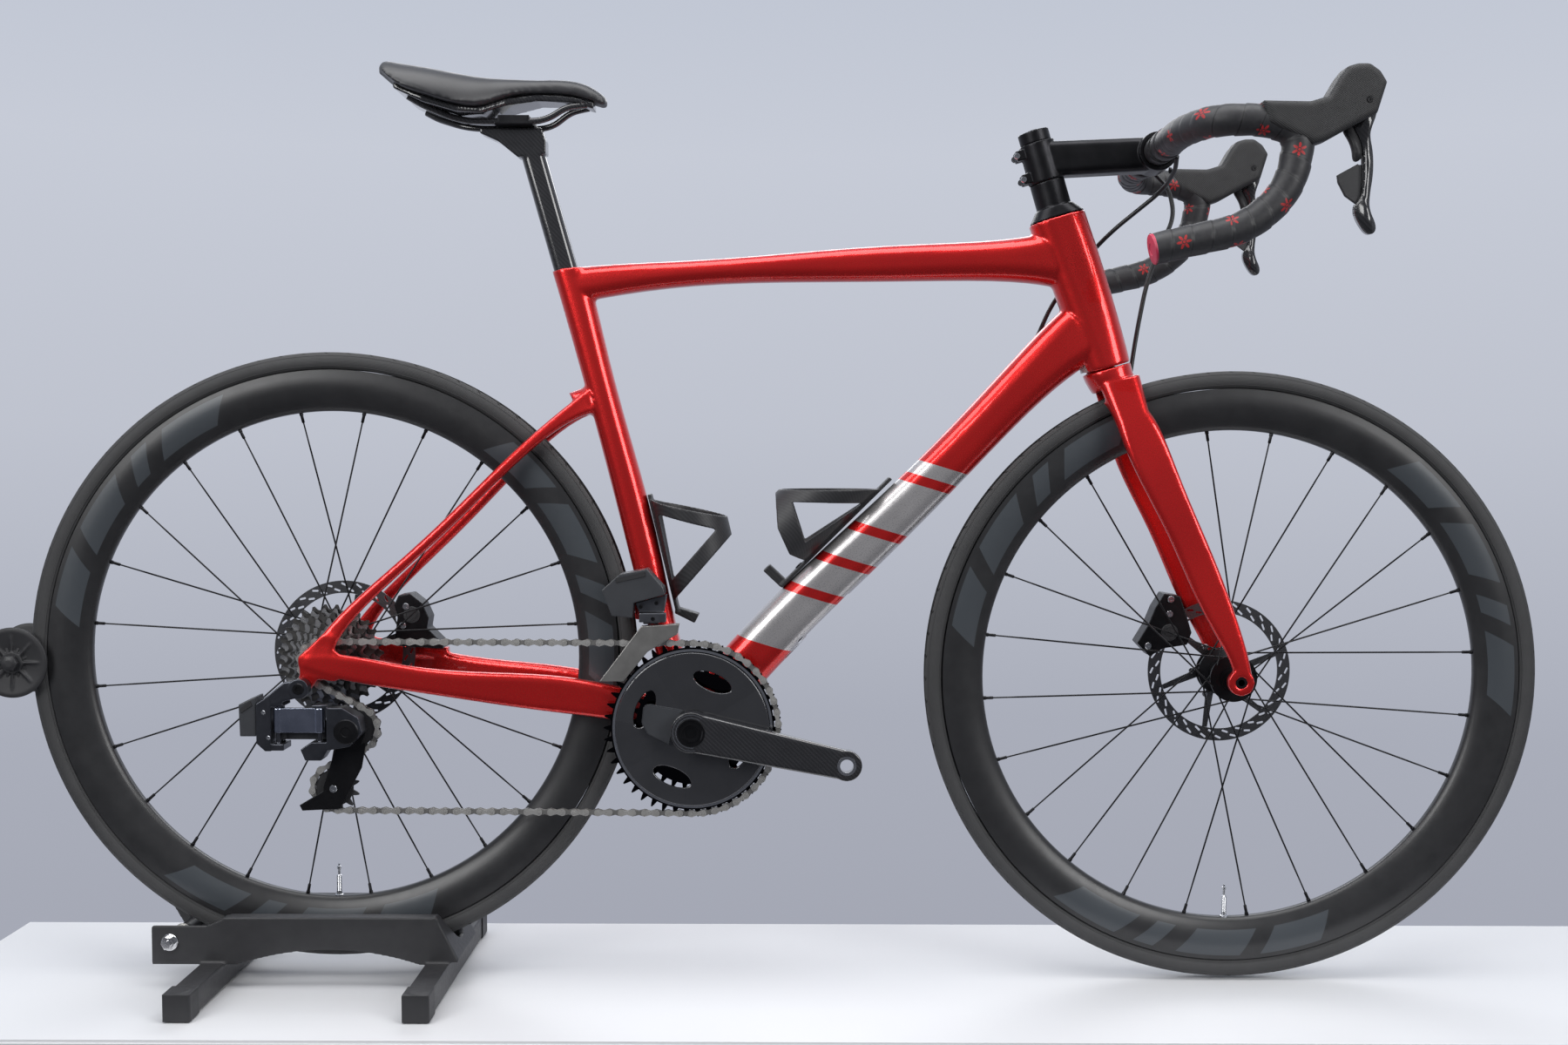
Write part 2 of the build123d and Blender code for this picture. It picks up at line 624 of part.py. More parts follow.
def chain_wheels():
    """Each wheel that the chain goes round: centre, radius, turning sense, chain plane."""
    return [
        ((BB_X, BB_Z), pitch_radius(RING_TEETH), 1, CHAIN_Y_FRONT),
        ((0.0, REAR_Z), pitch_radius(COG_TEETH[0]), 1, CHAIN_Y_REAR),
        (GUIDE_PULLEY, pitch_radius(PULLEY_TEETH), -1, CHAIN_Y_REAR),
        (TENSION_PULLEY, pitch_radius(PULLEY_TEETH), 1, CHAIN_Y_REAR),
    ]


def tangent(wheel_a, wheel_b):
    """Where the chain leaves one wheel and meets the next, in the side view."""
    (ax, az), radius_a, sense_a, _ = wheel_a
    (bx, bz), radius_b, sense_b, _ = wheel_b
    offset = sense_a * radius_a - sense_b * radius_b
    span = math.hypot(bx - ax, bz - az)
    heading = math.atan2(bz - az, bx - ax) + math.asin(offset / span)
    right = (math.sin(heading), -math.cos(heading))
    leave = (ax + sense_a * radius_a * right[0], az + sense_a * radius_a * right[1])
    meet = (bx + sense_b * radius_b * right[0], bz + sense_b * radius_b * right[1])
    return leave, meet


def arc_band(wheel, meet, leave, y_low, y_high):
    (cx, cz), radius, sense, _ = wheel
    first = math.atan2(meet[1] - cz, meet[0] - cx)
    last = math.atan2(leave[1] - cz, leave[0] - cx)
    sweep_angle = (last - first) * sense % (2 * math.pi)
    low = math.degrees(first if sense > 0 else last)
    centre = Pos(cx, cz)
    outer = CenterArc((0, 0), radius + CHAIN_HALF_HEIGHT, low, math.degrees(sweep_angle))
    inner = CenterArc((0, 0), radius - CHAIN_HALF_HEIGHT, low, math.degrees(sweep_angle))
    band = make_face(outer + inner + Line(outer @ 0, inner @ 0) + Line(outer @ 1, inner @ 1))
    return across(centre * band, y_low, y_high)


def ring_phase():
    """Turn of the big ring that puts a tooth gap where the chain leaves it."""
    wheels = chain_wheels()
    leave, _ = tangent(wheels[0], wheels[1])
    angle = math.degrees(math.atan2(leave[1] - BB_Z, leave[0] - BB_X))
    return angle + 180 / RING_TEETH


CHAIN_CLEARANCE = 0.05


def chain_run(start, end, y_start, y_end, stub_start, stub_end):
    """A straight run seen from the side; in plan it steps across between two flat stubs."""
    from_point = Vector(start[0], 0, start[1])
    run = Vector(end[0], 0, end[1]) - from_point
    length = run.length
    heading = run.normalized()
    floor = Plane(origin=from_point, x_dir=heading, z_dir=heading.cross(Vector(0, 1, 0)))
    pieces = []
    for low, high in ((-CHAIN_OUTER, -CHAIN_INNER), (CHAIN_INNER, CHAIN_OUTER)):
        spine = [(CHAIN_CLEARANCE, y_start), (stub_start, y_start), (length - stub_end, y_end),
                 (length - CHAIN_CLEARANCE, y_end)]
        outline = [(s, y + low) for s, y in spine] + [(s, y + high) for s, y in reversed(spine)]
        pieces.append(extrude(floor * Polygon(*outline, align=None), amount=CHAIN_HALF_HEIGHT, both=True))
    strip = Compound(pieces)
    count = int(length // CHAIN_PITCH)
    for step in range(1, count):
        along = length * step / count
        if stub_start < along < length - stub_end:
            place = from_point + heading * along
            y = y_start + (y_end - y_start) * (along - stub_start) / (length - stub_start - stub_end)
            strip = strip + rod((place.X, y - 2, place.Z), (place.X, y + 2, place.Z), 1.9)
    return strip.solids()


def make_chain():
    """Two side plates that follow the four wheels, pinned together along the straight runs."""
    wheels = chain_wheels()
    solids = []
    for number, wheel in enumerate(wheels):
        follower = wheels[(number + 1) % 4]
        leave, meet = tangent(wheel, follower)
        _, arrive = tangent(wheels[number - 1], wheel)
        for low, high in ((-CHAIN_OUTER, -CHAIN_INNER), (CHAIN_INNER, CHAIN_OUTER)):
            solids += arc_band(wheel, arrive, leave, wheel[3] + low, wheel[3] + high).solids()
        stub_start = RING_STUB if number == 0 else COG_STUB
        stub_end = RING_STUB if number == 3 else COG_STUB
        solids += chain_run(leave, meet, wheel[3], follower[3], stub_start, stub_end)
    return Compound(list(solids))


RING_PHASE = ring_phase()


# ---- wheels ----
def make_tyre(x, z):
    tyre = Torus(TYRE_RADIUS - TYRE_SECTION, TYRE_SECTION) - Torus(TYRE_RADIUS - TYRE_SECTION,
                                                                   TYRE_SECTION - 2.5)
    tyre -= Cylinder(RIM_OUTER + 0.2, 60)
    return Pos(x, 0, z) * Rot(90, 0, 0) * tyre


def make_rim(x, z):
    outer = [(RIM_OUTER, -13.5), (RIM_OUTER, -11.5), (313, -11.0), (312, -5), (312, 5), (313, 11.0),
             (RIM_OUTER, 11.5),
             (RIM_OUTER, 13.5), (300, 14.8), (286, 12.5), (276, 8), (RIM_INNER, 3), (RIM_INNER, -3),
             (276, -8),
             (286, -12.5), (300, -14.8)]
    hollow = [(309.5, -9), (309.5, 9), (300, 12.3), (287, 10.2), (277.5, 5.5), (277.5, -5.5), (287, -10.2),
              (300, -12.3)]
    return spun(outer, x, z) - spun(hollow, x, z)


FLANGE_RADIUS = 24.0
SPOKE_RADIUS = 0.95


def make_spokes(x, z, drive_y, disc_y, turn):
    """Two-cross lacing: 12 spokes on each flange, half of them leading and half trailing."""
    spokes = []
    half_step = math.pi / SPOKES_PER_SIDE
    first = math.radians(turn)
    for flange_y, phase in ((drive_y, first + half_step), (disc_y, first)):
        for number in range(SPOKES_PER_SIDE):
            hub_angle = phase + 2 * half_step * number
            lead = 1 if number % 2 else -1
            rim_angle = hub_angle + lead * 4 * half_step
            flange_offset = 3.3 * lead
            hub_end = (x + FLANGE_RADIUS * math.cos(hub_angle), flange_y + flange_offset,
                       z + FLANGE_RADIUS * math.sin(hub_angle))
            reach = RIM_INNER - 0.3
            rim_end = (x + reach * math.cos(rim_angle), 0.8 * lead, z + reach * math.sin(rim_angle))
            spokes.append(rod(hub_end, rim_end, SPOKE_RADIUS))
    return Compound(spokes)


def make_hub(x, z, half, drive_y, disc_y, axle_radius):
    """Shell with two flanges; the ends butt on the frame and the axle runs through."""
    points = [(axle_radius, -half + SKIN_GAP), (9.5, -half + SKIN_GAP), (9.5, drive_y - 3.2),
              (14, drive_y - 3.2),
              (14, drive_y - 1.4), (25.6, drive_y - 1.4), (25.6, drive_y + 1.4), (15, drive_y + 4), (14, 0),
              (15, disc_y - 4), (25.6, disc_y - 1.4), (25.6, disc_y + 1.4), (17, disc_y + 2),
              (17, disc_y + 7), (9.5, disc_y + 10), (9.5, half - SKIN_GAP), (axle_radius, half - SKIN_GAP)]
    return spun(points, x, z)


ROTOR_SLOTS = 28


def make_rotor(x, z, y):
    """Steel brake track with two rows of slots, on six slanted arms around a carrier."""
    track = Circle(ROTOR_RADIUS) - Circle(ROTOR_RADIUS - 14)
    for slot in range(2 * ROTOR_SLOTS):
        from_edge = (4.2, 10.2)[slot % 2]
        turned = Rot(0, 0, 180 / ROTOR_SLOTS * slot) * Pos(ROTOR_RADIUS - from_edge, 0)
        track -= turned * Rot(0, 0, 65) * SlotOverall(7.5, 2.2)
    carrier = Circle(26) - Circle(17.1)
    for arm in range(6):
        spoke = Polygon((20, -4), (ROTOR_RADIUS - 16, 16.4), (ROTOR_RADIUS - 18, 21.4), (18, 5), align=None)
        carrier += Rot(0, 0, 60 * arm) * spoke
    carrier -= Circle(17.1)
    sketch = Pos(x, z) * (track + carrier)
    return across(sketch, y - 0.9, y + 0.9)


def make_cassette():
    cogs = []
    for number, teeth in enumerate(COG_TEETH):
        y = CHAIN_Y_REAR + COG_PITCH * number
        cogs.append(sprocket(0, REAR_Z, teeth, y, 1.6, 9.5 + 3.0, 11.0 * number, tip=2.2))
    body = ring(0, REAR_Z, 16.5, 9.5 + RUN_FIT, CHAIN_Y_REAR - 0.8, CHAIN_Y_REAR + COG_PITCH * 11 + 0.8)
    lockring = ring(0, REAR_Z, 15, 9.5 + RUN_FIT, CHAIN_Y_REAR - 3, CHAIN_Y_REAR - 0.8)
    whole = body + lockring
    for cog in cogs:
        whole = whole + cog
    return whole


def make_axle(x, z, half, wall, thread):
    """Hollow through-axle with a hex socket in its flanged left end."""
    axle = disc(x, z, 6, -half - thread, half + wall + 1)
    axle += disc(x, z, 8.5, half + wall + 0.2, half + wall + 3) - hexagon(x, z, 6, half + wall + 1,
                                                                          half + wall + 6)
    axle -= disc(x, z, 3.5, -half - thread - 1, half + wall - 10)
    return axle


# ---- brake callipers ----
def make_rear_caliper():
    """Flat-mount calliper that stands on the left chainstay, open over the rotor."""
    outline = [(62, 367.5), (58, 374), (62, 402), (58, 414), (63, 425), (76, 427), (90, 416), (97, 400), (95, 388),
               (113, 370), (113, 364.6)]
    body = plate(outline, 28.5, 59) + disc(78, 403, 11, 28.5, 61)
    body -= disc(0, REAR_Z, ROTOR_RADIUS + 3, 32.5, 39.5)
    body -= plate([(56, 350), (56, 367), (116, 362.6), (116, 350)], 20, 74)
    body -= disc(0, REAR_Z, 56, 20, 70)
    return body


def make_front_caliper():
    """Flat-mount calliper behind the left fork leg, open over the rotor."""
    outline = [(896, 372), (910, 357), (926, 366), (952, 370), (957, 384), (951, 404), (943.5, 425), (926, 428),
               (916, 412), (908, 392)]
    body = plate(outline, 27, 57) + disc(932, 384, 11.5, 27, 59)
    body -= disc(FRONT_X, FRONT_Z, ROTOR_RADIUS + 3, 32.5, 39.5)
    body -= disc(FRONT_X, FRONT_Z, 44, 20, 70)
    return body


# ---- front derailleur ----
def make_fd_body():
    body = plate([(338, 424), (372, 433), (369, 414), (363, 401), (347, 401)], -45, -29.4)
    body += plate([(343, 404), (372, 404), (372, 414), (343, 414)], -55, -45)
    return body


def make_fd_battery():
    outline = [(303, 439), (322, 456), (352, 462), (370, 441), (371, 434), (337.5, 425.2), (336, 409),
               (314, 411)]
    return plate(outline, -57, -30)


def make_fd_cage():
    outer = [(345, 399.5), (386, 402), (384, 391), (352, 372), (326, 340), (300, 340)]
    inner = [(345, 399.5), (386, 402), (384, 391), (352, 374), (326, 340), (302, 340)]
    cage = plate(outer, -54.4, -53.2)
    cage += plate(inner, -42.2, -41)
    cage += plate([(347, 398.2), (347, 399.7), (384, 402), (384, 400.5)], -54.4, -41)
    cage += plate([(304, 341), (309, 341), (309, 346.5), (304, 346.5)], -54.4, -41)
    return cage


# ---- rear derailleur ----
RD_PIVOT_NEAR = (-38.0, -86.0)
RD_PIVOT_FAR = (-38.0, -71.0)
RD_LINK_REACH = 44.0
RD_LINK_Z = (283.0, 314.0)
RD_PIN_RADIUS = 2.5


def upright_pin(x, y, z_low, z_high, radius):
    return Pos(x, y, (z_low + z_high) / 2) * Cylinder(radius, z_high - z_low)


def make_rd_body():
    """Hanger knuckle, the wall behind the battery, and lugs with the two upright pins."""
    x, z = HANGER_BOLT
    body = disc(x, z, 10.5, -92, -79)
    body += plate([(-47, 319.5), (-17.5, 326.9), (-12, 346), (-30, 344), (-50, 328)], -91.7, -79.3)
    body += plate([(-60, 279), (-51, 270.5), (-44.5, 270.5), (-44.5, 331), (-60, 321)], -92, -64)
    body += plate([(-46, 318), (-31, 318), (-33, 328), (-46, 330)], -91.5, -64.5)
    body += plate([(-46, 271), (-31, 271), (-31, 278), (-46, 278)], -91.5, -64.5)
    body += disc(x, z, 5.0, -80, -71.5)
    body -= hexagon(x, z, 6, -93, -86)
    for px, py in (RD_PIVOT_NEAR, RD_PIVOT_FAR):
        body += upright_pin(px, py, 276, 320, RD_PIN_RADIUS)
    return body


def make_rd_battery():
    return plate([(-79, 320), (-63, 328), (-60.3, 328), (-60.3, 286), (-78, 286)], -90, -64)


def rd_link(y, z_low, z_high, thick):
    """A link that swings about upright pins: barrel ends and a flat web."""
    x0 = RD_PIVOT_NEAR[0]
    x1 = x0 + RD_LINK_REACH
    middle = (z_low + z_high) / 2
    height = z_high - z_low
    link = Pos(x0, y, middle) * Cylinder(5, height) + Pos(x1, y, middle) * Cylinder(5, height)
    link += Pos((x0 + x1) / 2, y, middle) * Box(RD_LINK_REACH, thick, height)
    for px in (x0, x1):
        link -= Pos(px, y, middle) * Cylinder(RD_PIN_RADIUS + RUN_FIT, height + 10)
    return link


def make_rd_outer_link():
    link = rd_link(RD_PIVOT_NEAR[1], 290, 316, 6)
    return link


def make_rd_inner_link():
    return rd_link(RD_PIVOT_FAR[1], 280, 300, 5)


def make_rd_knuckle():
    """The block at the cage's pivot, with lugs over and under the links' front ends."""
    x = RD_PIVOT_NEAR[0] + RD_LINK_REACH
    knuckle = plate([(-1, 316.5), (31, 316.5), (48, 306), (52, 290), (38, 275), (16, 271), (14, 279.5),
                     (14, 316.4)], -90, -67)
    knuckle += plate([(-1, 316.3), (15, 316.3), (15, 320), (-1, 319.5)], -90, -67)
    knuckle += plate([(-3, 279.6), (16, 279.6), (16, 273), (8, 260), (-9, 260), (-14, 272)], -90, -67)
    for y in (RD_PIVOT_NEAR[1], RD_PIVOT_FAR[1]):
        knuckle += upright_pin(x, y, 279, 317, RD_PIN_RADIUS)
    knuckle += disc(GUIDE_PULLEY[0], GUIDE_PULLEY[1], 6, -67, -64.9)
    return knuckle


def make_rd_cage():
    """Two side plates that hold the guide and tension pulleys."""
    gx, gz = GUIDE_PULLEY
    tx, tz = TENSION_PULLEY
    outer = lens(GUIDE_PULLEY, TENSION_PULLEY, 13, 11, -66.5, -64.8)
    outer += plate([(30, 270), (50, 275), (45, 248), (21, 203), (-20, 201), (-23, 207), (2, 222),
                    (21, 240)], -66.5, -64.8)
    outer -= disc(gx, gz, 6 + RUN_FIT, -70, -60)
    inner = lens(GUIDE_PULLEY, TENSION_PULLEY, 10, 10, -55.2, -53.5)
    cage = outer + inner + disc(tx, tz, 3, -65.5, -54.5)
    return cage + disc(gx, gz, 3, -64.0, -54.5) + disc(gx, gz, 8, -64.8, -63.6)


def make_pulley(centre, phase):
    x, z = centre
    return sprocket(x, z, PULLEY_TEETH, CHAIN_Y_REAR, 1.8, 3 + RUN_FIT, phase, tip=2.6)


# ---- fork and cockpit ----
FORK_RIGHT = [((862, 652), (846, 640), -15, 22), ((893, 632), (858, 618), -31, 18),
              ((909, 601), (868, 588), -41, 13),
              ((950, 500), (916, 489), -49, 10), ((987, 404), (960, 396), -54, 9),
              ((1001, 352), (982, 348), -56, 10),
              ((1003, 332), (979, 330), -56, 10)]
STEERER_LOW = -182.0
CROWN = [((878.2, 685.5), (827.5, 670.7), 0, 51), ((884, 665), (838, 652), 0, 50),
         ((888, 656), (846, 642), 0, 44)]


def make_fork():
    crown = tube(CROWN)
    leg = tube(FORK_RIGHT)
    leg += disc(FRONT_X, FRONT_Z, 14, -61, -HUB_HALF_FRONT)
    shoulder = tube([((886, 672), (842, 660), -14, 26), ((893, 632), (858, 618), -31, 18)])
    fork = crown + both_sides(leg + shoulder)
    length = STEM_HIGH - 2 - STEERER_LOW
    fork += steerer_plane(STEERER_LOW) * Cylinder(14.3, length, align=(Align.CENTER, Align.CENTER, Align.MIN))
    fork -= steerer_plane(STEERER_LOW - 8) * Cylinder(11.5, 300, align=(Align.CENTER, Align.CENTER,
                                                                        Align.MIN))
    fork -= disc(FRONT_X, FRONT_Z, 6.1, -90, 90)
    fork -= disc(FRONT_X, FRONT_Z, TYRE_RADIUS + 5, -19, 19)
    return fork


def make_headset_cover():
    low = steerer_plane(0.4) * Pos(0, 0) * RectangleRounded(46, 60, 20)
    high = steerer_plane(12) * RectangleRounded(39, 42, 18)
    cover = loft([low.face(), high.face()])
    return cover - steerer_plane(-5) * Cylinder(14.35, 40, align=(Align.CENTER, Align.CENTER, Align.MIN))


def steerer_ring(low, high, outer, inner):
    blank = Cylinder(outer, high - low, align=(Align.CENTER, Align.CENTER, Align.MIN))
    blank -= Cylinder(inner, high - low, align=(Align.CENTER, Align.CENTER, Align.MIN))
    return steerer_plane(low) * blank


STEM_LOW = 40.8
STEM_HIGH = 84.0


def make_spacers():
    rings = [steerer_ring(12.05 + 9.5 * k, 21.5 + 9.5 * k, 19, 14.35) for k in range(3)]
    return Compound(rings)


def make_stem():
    """Clamp on the steerer, a straight body and a clamp with a face plate round the bar."""
    body = loft([(Plane(origin=(778, 0, 905), x_dir=(0, 1, 0), z_dir=(1, 0, 0.09)) * RectangleRounded(34,
                                                                                                      38,
                                                                                                      8)).face(),
                 (Plane(origin=(892, 0, 910), x_dir=(0, 1, 0), z_dir=(1, 0, 0.07)) * RectangleRounded(38,
                                                                                                      36,
                                                                                                      8)).face()])
    body += disc(BAR_X, BAR_Z, 21, -22, 22)
    body += steerer_plane(STEM_LOW) * Cylinder(19.5, STEM_HIGH - STEM_LOW,
                                               align=(Align.CENTER, Align.CENTER, Align.MIN))
    for low in (STEM_LOW + 3, STEM_HIGH - 14):
        lug = steerer_plane(low) * Pos(0, 19, 5.5) * Box(22, 14, 11)
        body += lug
    body -= steerer_plane(STEM_LOW - 10) * Cylinder(14.4, 80, align=(Align.CENTER, Align.CENTER, Align.MIN))
    body -= steerer_plane(STEM_LOW - 5) * Pos(0, 22, 0) * Box(2, 24, 110)
    body -= disc(BAR_X, BAR_Z, 16.0, -30, 30)
    body -= plate([(902.4, 925), (903.6, 925), (903.6, 940), (902.4, 940)], -30, 30)
    return body


def make_top_cap():
    cap = steerer_ring(STEM_HIGH + 0.1, STEM_HIGH + 13, 17, 4)
    bolt = steerer_ring(STEM_HIGH + 13, STEM_HIGH + 15, 6, 2.5)
    return cap + bolt


BAR_ROUTE = [(903, 0, 912), (903, -136, 912), (921, -190, 912), (966, -197, 911), (1001, -198, 899),
             (992, -200, 845), (951, -203, 806), (858, -206, 785)]
BAR_RADIUS = 12.0
BAR_BORE = 9.5
TAPE_RADIUS = 15.4
BAR_GAP = 0.1


def bar_path(points):
    return FilletPolyline(*points, radius=soft_corners(points, 0.47))


def pipe_along(path, radius):
    start = Plane(origin=path @ 0, z_dir=path % 0)
    return sweep(start * Circle(radius), path=path)


def make_handlebar():
    half = pipe_along(bar_path(BAR_ROUTE), BAR_RADIUS)
    whole = both_sides(half) + disc(BAR_X, BAR_Z, 15.9, -38, 38)
    return whole - both_sides(pipe_along(bar_path(BAR_ROUTE), BAR_BORE))


TAPE_START = 50.0


def make_bar_tape():
    """Tape sleeve on each side: the bar's route, from beside the clamp to the end plug."""
    path = bar_path(BAR_ROUTE)
    sleeve = pipe_along(path, TAPE_RADIUS) - pipe_along(path, BAR_RADIUS + BAR_GAP)
    sleeve -= Pos(903, 0, 912) * Box(60, 2 * TAPE_START, 60)
    sleeve -= hood_solid(0.1)
    one = sleeve.solids().sort_by(SortBy.VOLUME)[-1]
    return Compound([one, mirrored(one)])


HOOD = [(962, 927), (1007, 926), (1024, 931), (1035, 950), (1042, 959), (1052, 962), (1063, 962), (1073, 955),
        (1080, 944), (1071, 914), (1042, 899), (1024, 889), (1009, 884), (985, 896), (966, 905)]
HOOD_Y = (-214.5, -181.5)


def hood_solid(grow):
    outline = Polygon(*HOOD, align=None)
    if grow:
        outline = offset(outline, amount=grow, kind=Kind.INTERSECTION)
    block = across(outline, HOOD_Y[0] - grow, HOOD_Y[1] + grow)
    return block


def make_hoods():
    hood = hood_solid(0)
    edges = [e for e in hood.edges() if abs(e.tangent_at(0.5).Y) < 0.1]
    try:
        hood = fillet(edges, 6)
    except Exception:
        print("hood edges kept square")
    hood -= pipe_along(bar_path(BAR_ROUTE), BAR_RADIUS + BAR_GAP)
    hood -= disc(LEVER_PIVOT[0], LEVER_PIVOT[1], 2.5 + RUN_FIT, -230, -170)
    hood -= plate([(1038, 880), (1042, 938), (1094, 940), (1094, 880)], -205, -191)
    keep = hood.solids().sort_by(SortBy.VOLUME)[-1]
    return Compound([keep, mirrored(keep)])


LEVER_PIVOT = (1062.0, 926.0)


def make_lever():
    blade = [(1054, 933), (1068, 935), (1073, 912), (1070, 858), (1069, 839), (1067, 829), (1072, 812),
             (1075, 806),
             (1070, 799), (1061, 806), (1054, 818), (1052, 828), (1056, 838), (1060, 869), (1055, 884),
             (1048, 897),
             (1050, 912)]
    lever = plate(blade, -204, -192)
    lever -= disc(LEVER_PIVOT[0], LEVER_PIVOT[1], 2.5 + RUN_FIT, -230, -170)
    lever -= plate([(1040, 884), (1063, 884), (1063, 825), (1040, 825)], -201, -186)
    return lever


PADDLE_PIVOT = (1059.0, -197.5)


def make_paddle():
    """The shift paddle behind the blade, with the upright barrel that it swings on."""
    outline = [(1057, 868), (1037, 857), (1038, 850), (1045, 837), (1056, 829), (1061, 850)]
    return plate(outline, -199.4, -195.6) + upright_pin(*PADDLE_PIVOT, 831, 867, 2.2)


# ---- brake hoses ----
HOSE_RADIUS = 2.5
REAR_HOSE = [(916, -49.5, 901), (919, -30, 889), (914, 5, 874), (848, 34, 820), (797, 33, 751),
             (778, 14, 712),
             (769, 11, 699)]
FRONT_HOSE = [(913, 50.5, 900), (929, 43, 881), (934, 37, 850), (905, 34, 785), (892, 33, 717),
              (884, 28.2, 667.3)]


# ---- make everything ----
save("stand_base", make_stand_base())
save("stand_end_caps", make_stand_caps())
save("stand_pivot_bolt", make_stand_bolt())
save("stand_arm_spring", make_stand_spring())
save("stand_arm", make_stand_arm() + make_roller_axle())
save("stand_roller", make_roller())

save("frame", make_frame())
save("bearings", Compound([make_headset_bearings(), make_bb_bearings()]))
save("seat_tube_cage", make_seat_cage())
save("down_tube_cage", make_down_cage())
save("rear_axle", make_axle(0, REAR_Z, HUB_HALF_REAR, 8, 5))
save("rear_caliper", make_rear_caliper())
save("fd_body", make_fd_body())
save("fd_battery", make_fd_battery())
save("fd_cage", make_fd_cage())
save("chain", make_chain())

save("seatpost", make_seatpost())
save("saddle_clamp", make_saddle_clamp())
save("saddle_rails", make_saddle_rails())
save("saddle_shell", make_saddle_shell())
save("saddle_cover", make_saddle_cover())

save("crank_arm_right", make_crank_right())
save("crank_arm_left", make_crank_left())
save("spider", make_spider())
save("chainring_large", make_ring_large())
save("chainring_small", make_ring_small())
save("chainring_bolts", make_ring_bolts())

save("rd_body", make_rd_body())
save("rd_battery", make_rd_battery())
save("rd_outer_link", make_rd_outer_link())
save("rd_inner_link", make_rd_inner_link())
save("rd_knuckle", make_rd_knuckle())
save("rd_cage", make_rd_cage())
save("guide_pulley", make_pulley(GUIDE_PULLEY, 0))
save("tension_pulley", make_pulley(TENSION_PULLEY, 15))

save("rear_tyre", make_tyre(0, REAR_Z))
save("rear_rim", make_rim(0, REAR_Z))
save("rear_spokes", make_spokes(0, REAR_Z, -14.5, 27, 7.5))
save("rear_hub", make_hub(0, REAR_Z, HUB_HALF_REAR, -14.5, 27, 6 + RUN_FIT))
save("rear_rotor", make_rotor(0, REAR_Z, 36))
save("cassette", make_cassette())
save("front_tyre", make_tyre(FRONT_X, FRONT_Z))
save("front_rim", make_rim(FRONT_X, FRONT_Z))
save("front_spokes", make_spokes(FRONT_X, FRONT_Z, -27, 25, 5.5))
save("front_hub", make_hub(FRONT_X, FRONT_Z, HUB_HALF_FRONT, -27, 25, 6 + RUN_FIT))
save("front_rotor", make_rotor(FRONT_X, FRONT_Z, 36))

save("fork", make_fork())
save("headset_spacers", Compound([make_headset_cover(), make_spacers(), make_top_cap()]))
save("stem", make_stem())
save("handlebar", make_handlebar())
save("bar_tape", make_bar_tape())
save("hoods", make_hoods())
save("front_caliper", make_front_caliper())
save("front_axle", make_axle(FRONT_X, FRONT_Z, HUB_HALF_FRONT, 11, 10))
save("lever_right", make_lever())
save("lever_left", mirrored(make_lever()))
save("paddle_right", make_paddle())
save("paddle_left", mirrored(make_paddle()))
print("rear hose")
save("rear_hose", piped(REAR_HOSE, HOSE_RADIUS))
print("front hose")
save("front_hose", piped(FRONT_HOSE, HOSE_RADIUS))
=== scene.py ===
import json
import math
import random

import bmesh
import bpy
from mathutils import Matrix, Vector


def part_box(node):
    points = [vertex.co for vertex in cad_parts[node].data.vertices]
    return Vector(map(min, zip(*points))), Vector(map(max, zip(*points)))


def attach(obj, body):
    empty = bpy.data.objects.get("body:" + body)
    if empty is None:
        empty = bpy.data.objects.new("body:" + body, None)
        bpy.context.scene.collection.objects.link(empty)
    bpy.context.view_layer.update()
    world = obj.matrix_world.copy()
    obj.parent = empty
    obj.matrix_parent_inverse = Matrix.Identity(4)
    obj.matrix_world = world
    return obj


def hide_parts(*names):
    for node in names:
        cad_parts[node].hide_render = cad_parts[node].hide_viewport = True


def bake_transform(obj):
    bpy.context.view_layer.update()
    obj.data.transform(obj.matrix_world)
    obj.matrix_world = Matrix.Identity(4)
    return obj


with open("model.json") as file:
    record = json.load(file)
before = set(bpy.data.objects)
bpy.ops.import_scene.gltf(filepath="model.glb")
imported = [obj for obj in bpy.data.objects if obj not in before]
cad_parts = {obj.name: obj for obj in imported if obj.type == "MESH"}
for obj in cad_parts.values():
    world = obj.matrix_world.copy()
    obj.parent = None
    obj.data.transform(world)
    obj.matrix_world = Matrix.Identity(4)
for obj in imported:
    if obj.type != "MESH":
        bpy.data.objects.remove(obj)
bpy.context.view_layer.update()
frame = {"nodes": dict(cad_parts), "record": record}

NODES = frame["nodes"]
BODY_OF = {node: body for body, nodes in frame["record"]["behaviour"]["bodies"].items() for node in nodes}
random.seed(7)


# ---- places, all from the CAD frame ----
def middle(node):
    low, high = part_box(node)
    return (Vector(low) + Vector(high)) / 2


REAR = middle("rear_rim")
FRONT = middle("front_rim")
ORIGIN_X = REAR.x


def at(x, y, z):
    """A point given in millimetres: x forward of the rear axle, y to the left, z above the floor."""
    return Vector((ORIGIN_X + x / 1000, y / 1000, z / 1000))


WHEEL_CENTRES = {"rear": (0.0, REAR.z * 1000), "front": ((FRONT.x - ORIGIN_X) * 1000, FRONT.z * 1000)}
BB_X, BB_Z = 400.0, 287.5


# ---- mesh helpers ----
def finish_piece(obj, material, body, smooth=True):
    """One material, its shading, and the body that the piece belongs to."""
    obj.data.materials.clear()
    obj.data.materials.append(material)
    if smooth:
        obj.data.shade_smooth()
    if body:
        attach(obj, body)
    return obj


def sharp_by_angle(obj, degrees):
    bm = bmesh.new()
    bm.from_mesh(obj.data)
    for edge in bm.edges:
        edge.smooth = not (len(edge.link_faces) == 2 and edge.calc_face_angle(0) > math.radians(degrees))
    bm.to_mesh(obj.data)
    bm.free()


def linked(name, data):
    obj = bpy.data.objects.new(name, data)
    bpy.context.collection.objects.link(obj)
    return obj


